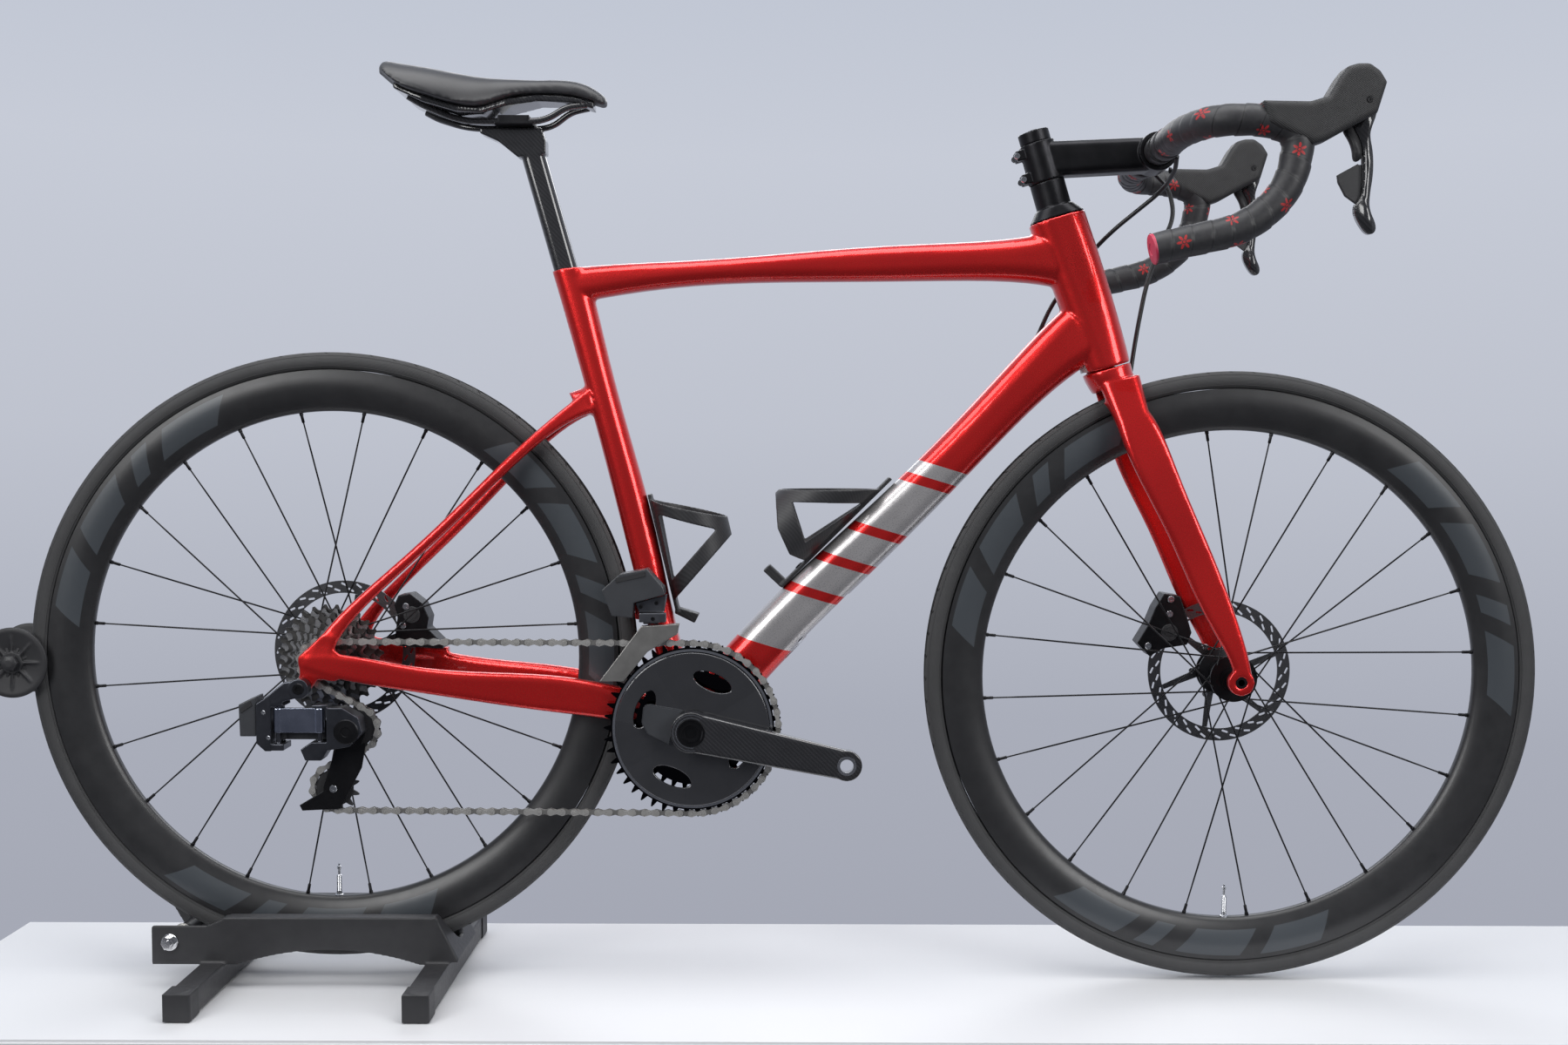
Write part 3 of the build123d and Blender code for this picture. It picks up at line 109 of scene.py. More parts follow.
def from_bmesh(name, bm, material, body, smooth=True, sharp=35):
    bmesh.ops.recalc_face_normals(bm, faces=bm.faces)
    mesh = bpy.data.meshes.new(name)
    bm.to_mesh(mesh)
    bm.free()
    obj = finish_piece(linked(name, mesh), material, body, smooth)
    if smooth and sharp:
        sharp_by_angle(obj, sharp)
    return obj


def circle(centre, side, up, wide, deep, count):
    """Points of an ellipse about centre, with its half axes along side and up."""
    turns = [2 * math.pi * k / count for k in range(count)]
    return [centre + side * (wide * math.cos(a)) + up * (deep * math.sin(a)) for a in turns]


def skinned(bm, rings):
    """Faces between successive rings of points, and one across each end."""
    rings = [[bm.verts.new(p) for p in ring] for ring in rings]
    for a, b in zip(rings, rings[1:]):
        for k in range(len(a)):
            n = (k + 1) % len(a)
            bm.faces.new((a[k], a[n], b[n], b[k]))
    bm.faces.new(rings[-1])
    bm.faces.new(rings[0][::-1])


def baked(obj):
    """The object's mesh with its modifiers applied."""
    graph = bpy.context.evaluated_depsgraph_get()
    mesh = bpy.data.meshes.new_from_object(obj.evaluated_get(graph))
    obj.modifiers.clear()
    obj.data = mesh
    return obj


def soften(node, voxel, rounds, material, sharp=0):
    """A copy of a CAD node with its hard corners rounded off; it stands for the node."""
    obj = linked(node + "_skin", NODES[node].data.copy())
    bm = bmesh.new()
    bm.from_mesh(obj.data)
    bmesh.ops.remove_doubles(bm, verts=bm.verts, dist=1e-6)
    bm.to_mesh(obj.data)
    bm.free()
    remesh = obj.modifiers.new("even", "REMESH")
    remesh.mode = "VOXEL"
    remesh.voxel_size = voxel / 1000
    if rounds:
        relax = obj.modifiers.new("relax", "SMOOTH")
        relax.factor = 0.5
        relax.iterations = rounds
    baked(obj)
    finish_piece(obj, material, BODY_OF[node])
    if sharp:
        sharp_by_angle(obj, sharp)
    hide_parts(node)
    return obj


def dress(node, material):
    """A CAD node that keeps its shape and gets a finished material."""
    return finish_piece(NODES[node], material, None)


def basis(axis):
    axis = Vector(axis).normalized()
    helper = Vector((0, 0, 1)) if abs(axis.z) < 0.9 else Vector((1, 0, 0))
    side = axis.cross(helper).normalized()
    return side, axis.cross(side).normalized(), axis


def lathe(name, centre, axis, profile, material, body, segments=32, sharp=35, closed=False):
    """profile: (radius, along) in millimetres, spun about axis through centre."""
    side, up, ahead = basis(axis)
    bm = bmesh.new()
    rings = []
    for radius, along in profile:
        spot = centre + ahead * along / 1000
        reach = radius / 1000
        points = circle(spot, side, up, reach, reach, segments) if radius > 1e-6 else [spot]
        rings.append([bm.verts.new(p) for p in points])
    if closed:
        rings.append(rings[0])
    for a, b in zip(rings, rings[1:]):
        for k in range(segments):
            n = (k + 1) % segments
            corners = ([a[k]] if len(a) > 1 else [a[0]]) + ([b[k], b[n]] if len(b) > 1 else [b[0]])
            if len(a) > 1:
                corners.append(a[n])
            if len(corners) > 2:
                bm.faces.new(corners)
    return from_bmesh(name, bm, material, body, sharp=sharp)


def bolt(name, centre, axis, radius, height, material, body, socket=0.5):
    """A round cap head with a hexagonal socket; axis points out of the head."""
    side, up, ahead = basis(axis)
    count = 24
    rings = []
    for reach, along, sides in ((radius, 0, 0), (radius, height - 0.15 * radius, 0),
                                (radius * 0.88, height, 0),
                                (radius * socket, height, 6), (radius * socket, height * 0.35, 6)):
        ring = []
        for k in range(count):
            a = 2 * math.pi * k / count
            far = reach
            if sides:
                far = reach * math.cos(math.pi / 6) / math.cos((a % (math.pi / 3)) - math.pi / 6)
            ring.append(centre + (side * math.cos(a) + up * math.sin(a)) * far / 1000 + ahead * along / 1000)
        rings.append(ring)
    bm = bmesh.new()
    skinned(bm, rings)
    return from_bmesh(name, bm, material, body, sharp=30)


def prism(name, outline, y_low, y_high, material, body, bevel=0.4, sharp=40):
    """A plate: outline of (x, z) in millimetres, between two y, with softened edges."""
    bm = bmesh.new()
    skinned(bm, [[at(x, y, z) for x, z in outline] for y in (y_low, y_high)])
    bmesh.ops.recalc_face_normals(bm, faces=bm.faces)
    bmesh.ops.bevel(bm, geom=list(bm.edges), offset=bevel / 1000, segments=2, affect="EDGES",
                    clamp_overlap=True)
    return from_bmesh(name, bm, material, body, sharp=sharp)


def rounded(points, share=0.45, step=4.0):
    """Points along a route whose corners are arcs, in millimetres."""
    points = [Vector(p) for p in points]
    path = [points[0]]
    for before, corner, after in zip(points, points[1:], points[2:]):
        into = corner - before
        out = after - corner
        turn = into.angle(out)
        if turn < 0.02:
            path.append(corner)
            continue
        trim = share * min(into.length, out.length)
        radius = trim / math.tan(turn / 2)
        start = corner - into.normalized() * trim
        inward = (out.normalized() - into.normalized()).normalized()
        centre = corner + inward * (radius / math.cos(turn / 2))
        arm = start - centre
        axis = into.cross(out).normalized()
        count = max(3, int(radius * turn / step))
        for k in range(count + 1):
            path.append(centre + Matrix.Rotation(turn * k / count, 3, axis) @ arm)
    path.append(points[-1])
    return path


def resampled(path, step):
    """Even steps along a path of points."""
    lengths = [0.0]
    for a, b in zip(path, path[1:]):
        lengths.append(lengths[-1] + (b - a).length)
    count = max(2, int(lengths[-1] / step))
    out = []
    k = 0
    for i in range(count + 1):
        target = lengths[-1] * i / count
        while k < len(lengths) - 2 and lengths[k + 1] < target:
            k += 1
        span = max(lengths[k + 1] - lengths[k], 1e-9)
        out.append(path[k].lerp(path[k + 1], (target - lengths[k]) / span))
    return out


def sweep(name, path, radius, material, body, segments=24):
    """A tube along points in millimetres; radius is a number or a function of (distance, angle)."""
    verts, uvs, faces = [], [], []
    side = None
    travelled = 0.0
    for k, place in enumerate(path):
        ahead = (path[min(k + 1, len(path) - 1)] - path[max(k - 1, 0)]).normalized()
        if side is None:
            side = ahead.cross(Vector((0, 0, 1)))
            if side.length < 0.1:
                side = ahead.cross(Vector((1, 0, 0)))
        side = (side - ahead * side.dot(ahead)).normalized()
        up = ahead.cross(side)
        if k:
            travelled += (place - path[k - 1]).length
        for j in range(segments):
            a = 2 * math.pi * j / segments
            r = radius(travelled, a) if callable(radius) else radius
            verts.append(at(*(place + (side * math.cos(a) + up * math.sin(a)) * r)))
            uvs.append((travelled / 1000, j / segments))
            if k:
                n = (j + 1) % segments
                before, here = (k - 1) * segments, k * segments
                faces.append((before + j, before + n, here + n, here + j))
    faces.append(tuple(reversed(range(segments))))
    faces.append(tuple(len(verts) - segments + j for j in range(segments)))
    mesh = bpy.data.meshes.new(name)
    mesh.from_pydata([tuple(v) for v in verts], [], faces)
    mesh.validate()
    obj = finish_piece(linked(name, mesh), material, body)
    layer = mesh.uv_layers.new(name="along")
    for poly in mesh.polygons:
        columns = [mesh.loops[i].vertex_index % segments for i in poly.loop_indices]
        seam = max(columns) == segments - 1 and min(columns) == 0
        for i, column in zip(poly.loop_indices, columns):
            u_value, v_value = uvs[mesh.loops[i].vertex_index]
            layer.data[i].uv = (u_value, 1.0 if seam and column == 0 else v_value)
    return obj


def mirrored_copy(obj, name, body):
    """The same piece on the other side of the bike."""
    mesh = obj.data.copy()
    for v in mesh.vertices:
        v.co.y = -v.co.y
    mesh.flip_normals()
    twin = linked(name, mesh)
    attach(twin, body)
    return twin


# ---- materials ----
class Paint:
    """A small builder for one procedural material."""

    def __init__(self, name, colour, roughness, metallic=0.0, coat=0.0, coat_roughness=0.05):
        self.material = bpy.data.materials.new(name)
        self.material.use_nodes = True
        self.tree = self.material.node_tree
        self.shader = self.tree.nodes["Principled BSDF"]
        for socket, value in (("Base Color", (*colour, 1)), ("Roughness", roughness), ("Metallic", metallic),
                              ("Coat Weight", coat), ("Coat Roughness", coat_roughness)):
            self.shader.inputs[socket].default_value = value
        self.normal = None

    def node(self, kind, inputs=None, **settings):
        node = self.tree.nodes.new(kind)
        for key, value in settings.items():
            setattr(node, key, value)
        for key, value in (inputs or {}).items():
            if isinstance(value, bpy.types.NodeSocket):
                self.tree.links.new(value, node.inputs[key])
            else:
                node.inputs[key].default_value = value
        return node

    def link(self, out, socket):
        self.tree.links.new(out, self.shader.inputs[socket])

    def place(self):
        """Object coordinates: the row frame, in metres."""
        return self.node("ShaderNodeTexCoord").outputs["Object"]

    def split(self, coords):
        return self.node("ShaderNodeSeparateXYZ", {"Vector": coords}).outputs

    def from_point(self, x, z):
        """Distances along, across and up from a point in the middle plane."""
        shift = self.node("ShaderNodeVectorMath", {0: self.place(), 1: tuple(at(x, 0, z))},
                          operation="SUBTRACT")
        return self.split(shift.outputs[0])

    def polar(self, cx, cz):
        """The angle and radius about an axle, and the distance across the bike."""
        x, y, z = self.from_point(cx, cz)
        return self.math("ARCTAN2", z, x), self.length(x, z), y

    def noise(self, scale, detail=3.0):
        return self.node("ShaderNodeTexNoise", {"Vector": self.place(), "Scale": scale, "Detail": detail,
                                                "Roughness": 0.55}).outputs["Fac"]

    def math(self, operation, *values):
        return self.node("ShaderNodeMath", dict(enumerate(values)), operation=operation).outputs[0]

    def add(self, a, b):
        return self.math("ADD", a, b)

    def sub(self, a, b):
        return self.math("SUBTRACT", a, b)

    def mul(self, a, b):
        return self.math("MULTIPLY", a, b)

    def length(self, a, b):
        return self.math("SQRT", self.add(self.mul(a, a), self.mul(b, b)))

    def between(self, value, low, high):
        """1 where low < value < high."""
        return self.mul(self.math("GREATER_THAN", value, low), self.math("LESS_THAN", value, high))

    def blocks(self, value, ranges):
        """1 where value is in any of the ranges."""
        mask = None
        for low, high in ranges:
            block = self.between(value, low, high)
            mask = block if mask is None else self.math("MAXIMUM", mask, block)
        return mask

    def mix(self, factor, a, b):
        node = self.tree.nodes.new("ShaderNodeMix")
        node.data_type = "RGBA"
        for index, value in ((0, factor), (6, a), (7, b)):
            if isinstance(value, bpy.types.NodeSocket):
                self.tree.links.new(value, node.inputs[index])
            else:
                node.inputs[index].default_value = value if index == 0 else (*value, 1)
        return node.outputs[2]

    def spread(self, value, low, high):
        """value from 0..1 mapped to low..high."""
        return self.node("ShaderNodeMapRange", {"Value": value, "To Min": low, "To Max": high}).outputs[0]

    def bump(self, height, distance_mm, strength=1.0):
        inputs = {"Height": height, "Distance": distance_mm / 1000, "Strength": strength}
        if self.normal:
            inputs["Normal"] = self.normal
        self.normal = self.node("ShaderNodeBump", inputs).outputs[0]
        self.link(self.normal, "Normal")
        return self

    def mottled(self, dark, light, scale, detail=4.0):
        self.link(self.mix(self.noise(scale, detail), dark, light), "Base Color")
        return self

    def rough(self, low, high, scale):
        self.link(self.spread(self.noise(scale), low, high), "Roughness")
        return self


def plain_metal(name, dark, light, rough_low, rough_high, metallic=1.0, grain=900.0):
    paint = Paint(name, light, rough_low, metallic)
    paint.mottled(dark, light, 60).rough(rough_low, rough_high, 140)
    paint.bump(paint.noise(grain, 2), 0.02, 0.4)
    return paint.material


def candy_red():
    """Metallic red under a clear coat, with fine flake and generic silver bars on the down tube."""
    paint = Paint("candy_red", (0.6, 0.014, 0.016), 0.3, metallic=0.72, coat=0.85, coat_roughness=0.03)
    flake = paint.node("ShaderNodeTexVoronoi", {"Vector": paint.place(), "Scale": 2200.0})
    glint = paint.math("POWER", paint.node("ShaderNodeSeparateColor",
                                           {"Color": flake.outputs["Color"]}).outputs[0], 6.0)
    deep = paint.mix(paint.noise(9, 2), (0.58, 0.008, 0.012), (0.80, 0.016, 0.013))
    red = paint.mix(paint.mul(glint, 0.45), deep, (1.0, 0.06, 0.03))
    # distance along and across the down tube
    x, _, z = paint.from_point(430, 322)
    run = (0.7158, 0.6983)
    along = paint.add(paint.mul(x, run[0]), paint.mul(z, run[1]))
    across = paint.sub(paint.mul(z, run[0]), paint.mul(x, run[1]))
    slanted = paint.add(along, paint.mul(across, 0.55))
    mask = paint.blocks(slanted, ((0.075, 0.148), (0.160, 0.196), (0.208, 0.244), (0.256, 0.322),
                                  (0.334, 0.352)))
    mask = paint.mul(mask, paint.between(across, -0.034, 0.040))
    silver = paint.mix(paint.noise(14, 2), (0.42, 0.40, 0.40), (0.72, 0.70, 0.70))
    paint.link(paint.mix(mask, red, silver), "Base Color")
    paint.link(paint.spread(glint, 0.34, 0.2), "Roughness")
    paint.bump(flake.outputs["Distance"], 0.02, 0.35)
    return paint.material


def rubber_tyre(centre):
    """Black rubber with a fine curved tread whose grooves are painted near black as shade, and a smoother
    side wall.
    """
    paint = Paint("tyre_" + centre, (0.028, 0.028, 0.03), 0.62)
    angle, radius, y = paint.polar(*WHEEL_CENTRES[centre])
    side = paint.math("ABSOLUTE", y)
    sweep_angle = paint.add(paint.mul(angle, 84.0), paint.mul(side, 640.0))
    groove = paint.math("GREATER_THAN", paint.math("SINE", sweep_angle), 0.94)
    tread = paint.between(side, 0.0028, 0.0115)
    on_top = paint.math("GREATER_THAN", radius, 0.3335)
    cut = paint.mul(groove, paint.mul(tread, on_top))
    wall = paint.math("LESS_THAN", radius, 0.3345)
    base = paint.mix(paint.noise(55, 5), (0.034, 0.034, 0.035), (0.062, 0.062, 0.064))
    dusty = paint.mix(paint.mul(paint.noise(18, 3), 0.35), base, (0.14, 0.14, 0.145))
    sided = paint.mix(paint.mul(wall, 0.5), dusty, (0.034, 0.034, 0.035))
    # painted shade: the tread grooves take a near-black colour as well as their bump
    paint.link(paint.mix(cut, sided, (0.004, 0.004, 0.004)), "Base Color")
    paint.link(paint.spread(paint.noise(90, 3), 0.5, 0.75), "Roughness")
    ribs = paint.math("SINE", paint.mul(radius, 5200.0))
    fine = paint.mul(ribs, paint.mul(wall, 0.3))
    paint.bump(paint.sub(fine, cut), 0.35, 0.6)
    paint.bump(paint.noise(1400, 3), 0.05, 0.4)
    return paint.material


def rim_carbon(centre):
    """Satin carbon with soft grey slanted blocks round the wheel."""
    paint = Paint("rim_" + centre, (0.02, 0.02, 0.022), 0.34, coat=0.25, coat_roughness=0.25)
    angle, radius, y = paint.polar(*WHEEL_CENTRES[centre])
    turn = paint.add(angle, paint.mul(paint.sub(radius, 0.297), 2.5))
    cycle = paint.math("FRACT", paint.add(paint.mul(turn, 3 / (2 * math.pi)), 0.13))
    mask = paint.blocks(cycle, ((0.08, 0.20), (0.235, 0.27), (0.31, 0.42), (0.455, 0.56)))
    band = paint.between(radius, 0.2835, 0.3115)
    flank = paint.math("GREATER_THAN", paint.math("ABSOLUTE", y), 0.0085)
    mask = paint.mul(paint.mul(mask, band), flank)
    weave = paint.mix(paint.noise(45, 6), (0.014, 0.014, 0.015), (0.032, 0.032, 0.034))
    paint.link(paint.mix(mask, weave, (0.058, 0.066, 0.075)), "Base Color")
    paint.link(paint.spread(paint.noise(120, 3), 0.28, 0.42), "Roughness")
    paint.bump(paint.noise(300, 2), 0.03, 0.3)
    return paint.material


def carbon(name, gloss):
    """Carbon fibre: faint crossed tows under a clear coat, or bare and satin."""
    paint = Paint(name, (0.02, 0.02, 0.022), 0.3 if gloss else 0.5, coat=1.0 if gloss else 0.1,
                  coat_roughness=0.06 if gloss else 0.4)
    wave_a = paint.node("ShaderNodeTexWave", {"Vector": paint.place(), "Scale": 130.0, "Distortion": 0.6},
                        bands_direction="DIAGONAL").outputs["Fac"]
    tows = paint.mul(paint.noise(70, 5), wave_a)
    tone = (0.018, 0.018, 0.020), (0.042, 0.042, 0.046)
    paint.link(paint.mix(tows, *tone), "Base Color")
    paint.link(paint.spread(paint.noise(160, 3), *((0.14, 0.24) if gloss else (0.42, 0.58))), "Roughness")
    paint.bump(paint.noise(500, 3), 0.03, 0.35)
    return paint.material


def powder_coat():
    paint = Paint("powder_black", (0.03, 0.03, 0.032), 0.45)
    paint.mottled((0.018, 0.018, 0.020), (0.04, 0.04, 0.043), 40)
    paint.rough(0.36, 0.55, 200).bump(paint.noise(900, 3), 0.12, 0.6)
    return paint.material


def moulded(name, dark, light, rough_low=0.45, rough_high=0.62, grain=1600.0):
    paint = Paint(name, light, rough_low)
    paint.mottled(dark, light, 35).rough(rough_low, rough_high, 120)
    paint.bump(paint.noise(grain, 3), 0.04, 0.5)
    return paint.material


def anodised(name, dark, light, rough_low=0.3, rough_high=0.45):
    paint = Paint(name, light, rough_low, metallic=0.9)
    paint.mottled(dark, light, 50).rough(rough_low, rough_high, 180)
    paint.bump(paint.noise(2500, 2), 0.015, 0.5)
    return paint.material


def hood_rubber():
    """Ribbed rubber: fine slanted ribs on the flanks."""
    paint = Paint("hood_rubber", (0.02, 0.02, 0.021), 0.6)
    x, _, z = paint.split(paint.place())
    slant = paint.add(paint.mul(x, 2400.0), paint.mul(z, 3400.0))
    ribs = paint.math("SMOOTH_MAX", paint.math("SINE", slant), 0.0, 0.3)
    paint.mottled((0.014, 0.014, 0.015), (0.034, 0.034, 0.036), 60)
    paint.rough(0.5, 0.72, 140)
    paint.bump(ribs, 0.35, 0.7).bump(paint.noise(1500, 3), 0.04, 0.4)
    return paint.material


def tape_cloth():
    """Black bar tape with small red flowers; the uv runs along and round the bar."""
    paint = Paint("bar_tape", (0.02, 0.02, 0.022), 0.62)
    distance, share, _ = paint.split(paint.node("ShaderNodeUVMap", uv_map="along").outputs[0])
    lengthwise = paint.mul(distance, 1 / 0.052)
    roundwise = paint.mul(share, 3.0)
    row = paint.math("FLOOR", lengthwise)
    shifted = paint.add(roundwise, paint.mul(row, 0.37))
    u = paint.mul(paint.sub(paint.math("FRACT", lengthwise), 0.5), 0.052)
    v = paint.mul(paint.sub(paint.math("FRACT", shifted), 0.5), 0.0323)
    reach = paint.length(u, v)
    angle = paint.math("ARCTAN2", v, u)
    petal = paint.math("ABSOLUTE", paint.math("COSINE", paint.mul(angle, 3.0)))
    edge = paint.math("MULTIPLY_ADD", paint.math("POWER", petal, 1.6), 0.0058, 0.0016)
    flower = paint.math("LESS_THAN", reach, edge)
    ring = paint.between(reach, 0.0013, 0.0021)
    flower = paint.mul(flower, paint.sub(1.0, ring))
    base = paint.mix(paint.noise(220, 4), (0.014, 0.014, 0.016), (0.038, 0.038, 0.042))
    red = paint.mix(paint.noise(260, 3), (0.25, 0.008, 0.012), (0.55, 0.03, 0.03))
    # painted shade: a near-black line where each turn overlaps the last
    lap = paint.math("FRACT", paint.add(paint.mul(distance, 50.0), share))
    lap_shade = paint.mul(paint.math("LESS_THAN", lap, 0.055), paint.math("GREATER_THAN", distance, 0.06))
    paint.link(paint.mix(lap_shade, paint.mix(flower, base, red), (0.003, 0.003, 0.004)), "Base Color")
    paint.rough(0.4, 0.6, 150)
    paint.bump(paint.noise(1800, 3), 0.06, 0.5)
    return paint.material


def saddle_skin():
    paint = Paint("saddle_skin", (0.022, 0.022, 0.025), 0.42, coat=0.12, coat_roughness=0.4)
    paint.mottled((0.016, 0.016, 0.018), (0.034, 0.034, 0.038), 30)
    paint.rough(0.34, 0.5, 90)
    grain = paint.node("ShaderNodeTexVoronoi", {"Vector": paint.place(), "Scale": 1500.0}).outputs["Distance"]
    paint.bump(grain, 0.05, 0.35)
    return paint.material


def ground_steel(name, cx, cz, dark, light, rough_low=0.22, rough_high=0.38):
    """Bright steel with grinding marks that run round an axle."""
    paint = Paint(name, light, rough_low, metallic=1.0)
    _, radius, _ = paint.polar(cx, cz)
    marks = paint.node("ShaderNodeTexNoise", {"W": radius, "Scale": 2600.0, "Detail": 3.0},
                       noise_dimensions="1D").outputs["Fac"]
    paint.link(paint.mix(marks, dark, light), "Base Color")
    paint.link(paint.spread(marks, rough_low, rough_high), "Roughness")
    paint.bump(marks, 0.02, 0.5)
    return paint.material


def faceted_black():
    """Glossy black whose shine breaks into broad planes between the web's windows."""
    paint = Paint("ring_gloss", (0.04, 0.041, 0.046), 0.12, metallic=0.35, coat=1.0, coat_roughness=0.05)
    angle, radius, _ = paint.polar(BB_X, BB_Z)
    turn = paint.math("FRACT", paint.add(paint.mul(angle, 4 / (2 * math.pi)), 0.07))
    fold = paint.math("ABSOLUTE", paint.sub(turn, 0.42))
    paint.mottled((0.036, 0.037, 0.041), (0.062, 0.063, 0.070), 20).rough(0.10, 0.2, 60)
    paint.bump(paint.mul(fold, paint.mul(radius, 12.0)), 6.0)
    return paint.material


RED = candy_red()
TYRE = {end: rubber_tyre(end) for end in ("rear", "front")}
RIM = {end: rim_carbon(end) for end in ("rear", "front")}
CARBON_GLOSS = carbon("carbon_gloss", True)
CARBON_SATIN = carbon("carbon_satin", False)
LEVER_GLOSS = carbon("lever_gloss", True)
POWDER = powder_coat()
PLASTIC = moulded("black_plastic", (0.016, 0.016, 0.018), (0.034, 0.034, 0.037))
BATTERY = moulded("battery_grey", (0.035, 0.037, 0.042), (0.062, 0.065, 0.072), 0.3, 0.45)
BLACK_ALLOY = anodised("black_alloy", (0.014, 0.014, 0.016), (0.035, 0.035, 0.038))
GREY_ALLOY = anodised("grey_alloy", (0.10, 0.105, 0.12), (0.2, 0.205, 0.225), 0.28, 0.4)
SLATE_ALLOY = anodised("slate_alloy", (0.045, 0.048, 0.058), (0.12, 0.125, 0.145), 0.24, 0.36)
SILVER = plain_metal("silver_alloy", (0.50, 0.51, 0.53), (0.72, 0.73, 0.76), 0.16, 0.3)
BLUE_SILVER = plain_metal("blue_silver", (0.30, 0.33, 0.42), (0.55, 0.59, 0.72), 0.12, 0.24)
CHROME = plain_metal("chrome", (0.68, 0.68, 0.69), (0.85, 0.85, 0.86), 0.08, 0.18)
STEEL = plain_metal("chain_steel", (0.40, 0.39, 0.375), (0.68, 0.67, 0.64), 0.2, 0.36, 0.6)
LINK_STEEL = plain_metal("link_steel", (0.22, 0.215, 0.205), (0.40, 0.39, 0.375), 0.24, 0.42, 0.7)
DARK_STEEL = plain_metal("dark_steel", (0.05, 0.049, 0.048), (0.14, 0.137, 0.133), 0.3, 0.5)
BLACK_STEEL = plain_metal("black_steel", (0.015, 0.015, 0.016), (0.04, 0.04, 0.043), 0.3, 0.45, 0.8)
HOOD = hood_rubber()
TAPE = tape_cloth()
SKIN = saddle_skin()
HOSE = moulded("hose_black", (0.010, 0.010, 0.011), (0.022, 0.022, 0.024), 0.3, 0.42)
PLUG_RED = moulded("plug_red", (0.42, 0.02, 0.06), (0.70, 0.06, 0.12), 0.35, 0.5)
PAD_GREY = moulded("pad_grey", (0.05, 0.05, 0.052), (0.09, 0.09, 0.095), 0.6, 0.8)
COG_STEEL = ground_steel("cog_steel", *WHEEL_CENTRES["rear"], (0.20, 0.20, 0.205), (0.62, 0.62, 0.63))
ROTOR_STEEL = {
    end: ground_steel("rotor_steel_" + end, *WHEEL_CENTRES[end], (0.10, 0.10, 0.105), (0.27, 0.27, 0.28))
    for end in ("rear", "front")}
RING_GLOSS = faceted_black()
RING_BLACK = ground_steel("ring_black", BB_X, BB_Z, (0.008, 0.008, 0.010), (0.020, 0.020, 0.024), 0.10, 0.20)


# ---- frame, fork and stand ----
soften("frame", 1.8, 5, RED)
soften("fork", 1.6, 4, RED)
soften("stand_base", 1.5, 1, POWDER, sharp=50)
soften("stand_end_caps", 1.2, 2, PLASTIC)
soften("stand_arm", 1.2, 1, POWDER)
dress("stand_pivot_bolt", CHROME)
dress("stand_arm_spring", STEEL)
dress("bearings", STEEL)


def roller():
    """A ribbed plastic wheel with a rounded rim and a hub boss."""
    low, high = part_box("stand_roller")
    centre = (Vector(low) + Vector(high)) / 2
    half = (high[1] - low[1]) / 2 * 1000
    reach = (high[2] - low[2]) / 2 * 1000
    obj = soften("stand_roller", 1.0, 2, PLASTIC)
    face = half - 1.5
    for k in range(16):
        angle = 2 * math.pi * k / 16
        out = Vector((math.cos(angle), 0, math.sin(angle)))
        across = Vector((-out.z, 0, out.x))
        ends = []
        for along, width, depth in ((10, 1.6, 3.4), (reach - 7, 1.1, 0.6)):
            end = []
            for sign, y in ((-1, 0), (1, 0), (1, 1), (-1, 1)):
                spot = centre + out * along / 1000 + across * sign * width / 1000
                spot.y = centre.y - (face - 4 + y * depth) / 1000
                end.append(spot)
            ends.append(end)
        bm = bmesh.new()
        skinned(bm, ends)
        rib = from_bmesh("roller_rib_%02d" % k, bm, PLASTIC, "stand_roller", smooth=False)
        bevel = rib.modifiers.new("round", "BEVEL")
        bevel.width = 0.0004
    return obj


roller()


# ---- wheels ----
def rim_and_tyre(end):
    cx, cz = WHEEL_CENTRES[end]
    centre = at(cx, 0, cz)
    body = end + "_wheel"
    half = [(271.0, 2.6), (272.0, 4.6), (275.5, 7.2), (281, 10.2), (288, 12.6), (296, 14.3), (303, 14.7),
            (309, 14.2),
            (314, 13.5), (316.2, 13.3), (316.4, 11.6), (313.0, 11.0), (312.0, 5.0)]
    outline = [(r, -y) for r, y in reversed(half)] + [(r, y) for r, y in half]
    rim = lathe(end + "_rim_skin", centre, (0, 1, 0), outline, RIM[end], body, segments=180,
                sharp=50,
                closed=True)
    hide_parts(end + "_rim")
    middle_radius, bulge, seat = 326.0, 14.0, 316.8
    section = []
    for k in range(33):
        a = math.radians(-222 + 264 * k / 32)
        spot = (middle_radius + bulge * math.sin(a), bulge * math.cos(a))
        if spot[0] > seat:
            section.append(spot)
    first, last = section[0][1], section[-1][1]
    inward = 2.0 if last < 0 else -2.0
    outline = [(seat, first)] + section + [(seat, last), (seat, last + inward), (325.0, 0.0),
                                           (seat, first - inward)]
    tyre = lathe(end + "_tyre_skin", centre, (0, 1, 0), outline, TYRE[end], body,
                 segments=240, sharp=60,
                 closed=True)
    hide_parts(end + "_tyre")
    # raised lines on each side wall
    for side in (-1, 1):
        for radius, y in ((320.3, 12.95), (331.6, 12.95)):
            profile = [(radius - 0.5, side * (y - 0.3)), (radius, side * (y + 0.25)),
                       (radius + 0.5, side * (y - 0.3))]
            lathe("%s_tyre_line_%s_%d" % (end, "rl"[side > 0], int(radius)), centre, (0, 1, 0), profile,
                  TYRE[end], body,
                  segments=180, sharp=0, closed=True)


for END in ("rear", "front"):
    rim_and_tyre(END)


SPOKES_PER_SIDE = 12
FLANGE_RADIUS = 24.0
RIM_INNER = 271.0


